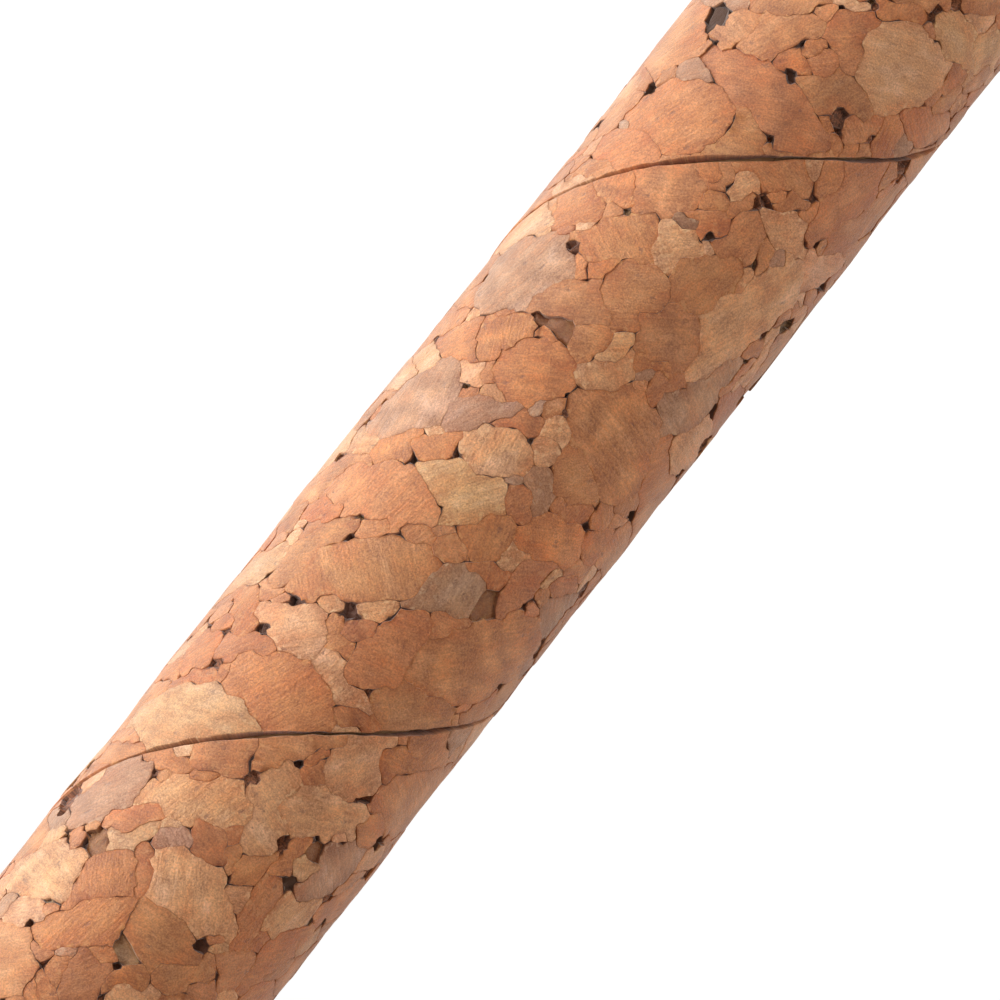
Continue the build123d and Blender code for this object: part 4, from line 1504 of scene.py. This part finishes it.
class TurnAluminium(bpy.types.Operator):
    """Turn the two ferrules and the retaining ring in satin aluminium"""

    bl_idname = "massage_ball.turn_aluminium"
    bl_label = "Ferrules and retaining ring"

    def execute(self, context):
        look = context.scene.massage_ball.turned
        satin = metal_material("satin_aluminium", look.aluminium, (0.42, 0.42, 0.43), 9.0, 0.45)
        for node in ("tail_ferrule", "head_ferrule", "retaining_ring"):
            softened_copy(node, node + "_turned", look.edge, satin, "handle", "satin_aluminium")
        return {"FINISHED"}


class DriveRingScrews(bpy.types.Operator):
    """Set the countersunk screws in the retaining ring"""

    bl_idname = "massage_ball.drive_ring_screws"
    bl_label = "Ring screws"

    def execute(self, context):
        look = context.scene.massage_ball.ring_screws
        low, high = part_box("ring_screws")
        head = SCREW_SIZES["Head radius"]
        colour = context.scene.massage_ball.turned.steel
        steel = metal_material("screw_steel", colour, (0.40, 0.40, 0.41), 14.0, 0.28)
        values = {"Circle radius": high.x - head, "Head radius": head, "Length": high.z - low.z}
        values |= {"Top height": high.z, "Screws": look.screws, "Seed": look.seed}
        values |= {"Key size": look.key_size, "Key depth": look.key_depth, "Material": steel}
        made = grown_mesh("ring_screw_set", ring_screw_tree(), values)
        soften(made.data, 0.06 * MM, sharp=35.0)
        settle_piece(made, "handle", "steel", "ring_screws")
        return {"FINISHED"}


class FitHardware(bpy.types.Operator):
    """Finish the steel and brass fastenings that hold the knob and the cup on the dowel"""

    bl_idname = "massage_ball.fit_hardware"
    bl_label = "Screws, washers, pins and inserts"

    def execute(self, context):
        look = context.scene.massage_ball.turned
        steel = metal_material("plated_steel", look.steel, (0.38, 0.39, 0.40), 7.0, 0.30)
        brass = metal_material("turned_brass", look.brass, (0.42, 0.28, 0.12), 8.0, 0.36)
        for node in ("tail_screw", "head_screw", "tail_washer", "head_washer", "tail_pins", "head_pins"):
            paint_node(node, steel)
        for node in ("tail_insert", "head_insert"):
            paint_node(node, brass)
        return {"FINISHED"}


class MouldPieces(bpy.types.Operator):
    """Mould the silicone foot pad and wiper, and the plastic seat and thrust washer"""

    bl_idname = "massage_ball.mould_pieces"
    bl_label = "Foot pad, wiper and seat"

    def execute(self, context):
        look = context.scene.massage_ball.turned
        rubber = moulded_material("silicone_rubber", look.silicone, (0.16, 0.155, 0.15), 0.62, 0.35)
        plastic = moulded_material("seat_plastic", look.seat_plastic, (0.60, 0.58, 0.53), 0.38, 0.18)
        softened_copy("foot_pad", "foot_pad_moulded", look.edge, rubber, "handle", "silicone")
        softened_copy("wiper_ring", "wiper_ring_moulded", look.edge, rubber, "handle", "silicone")
        paint_node("ball_seat", plastic)
        paint_node("thrust_washer", plastic)
        return {"FINISHED"}


class SetStage(bpy.types.Operator):
    """Set the camera, the lamps and the floor"""

    bl_idname = "massage_ball.set_stage"
    bl_label = "Camera, lamps and floor"

    def execute(self, context):
        settings = context.scene.massage_ball
        studio(settings.studio, settings.cork.strip_pitch)
        return {"FINISHED"}


BUILD_ORDER = (
    WindCorkWrap,
    TurnCorkBall,
    TurnBeech,
    TurnAluminium,
    DriveRingScrews,
    FitHardware,
    MouldPieces,
    SetStage,
)


class MassageBallPanel(bpy.types.Panel):
    bl_idname = "VIEW3D_PT_massage_ball"
    bl_label = "Massage ball"
    bl_space_type = "VIEW_3D"
    bl_region_type = "UI"
    bl_category = "Massage ball"

    def draw(self, context):
        settings = context.scene.massage_ball
        for group in ("cork", "turned", "ring_screws", "studio"):
            box = self.layout.box()
            box.label(text=group.replace("_", " ").capitalize())
            part = getattr(settings, group)
            for name in type(part).__annotations__:
                box.prop(part, name)
        for operator in BUILD_ORDER:
            self.layout.operator(operator.bl_idname)


CLASSES = (
    CorkSettings,
    TurnedSettings,
    RingScrewSettings,
    StudioSettings,
    MassageBallSettings,
    *BUILD_ORDER,
    MassageBallPanel,
)


def register():
    for made in CLASSES:
        bpy.utils.register_class(made)
    bpy.types.Scene.massage_ball = bpy.props.PointerProperty(type=MassageBallSettings)


def unregister():
    del bpy.types.Scene.massage_ball
    for made in reversed(CLASSES):
        bpy.utils.unregister_class(made)


def main():
    register()
    for operator in BUILD_ORDER:
        group, name = operator.bl_idname.split(".")
        getattr(getattr(bpy.ops, group), name)()


if __name__ == "__main__":
    main()
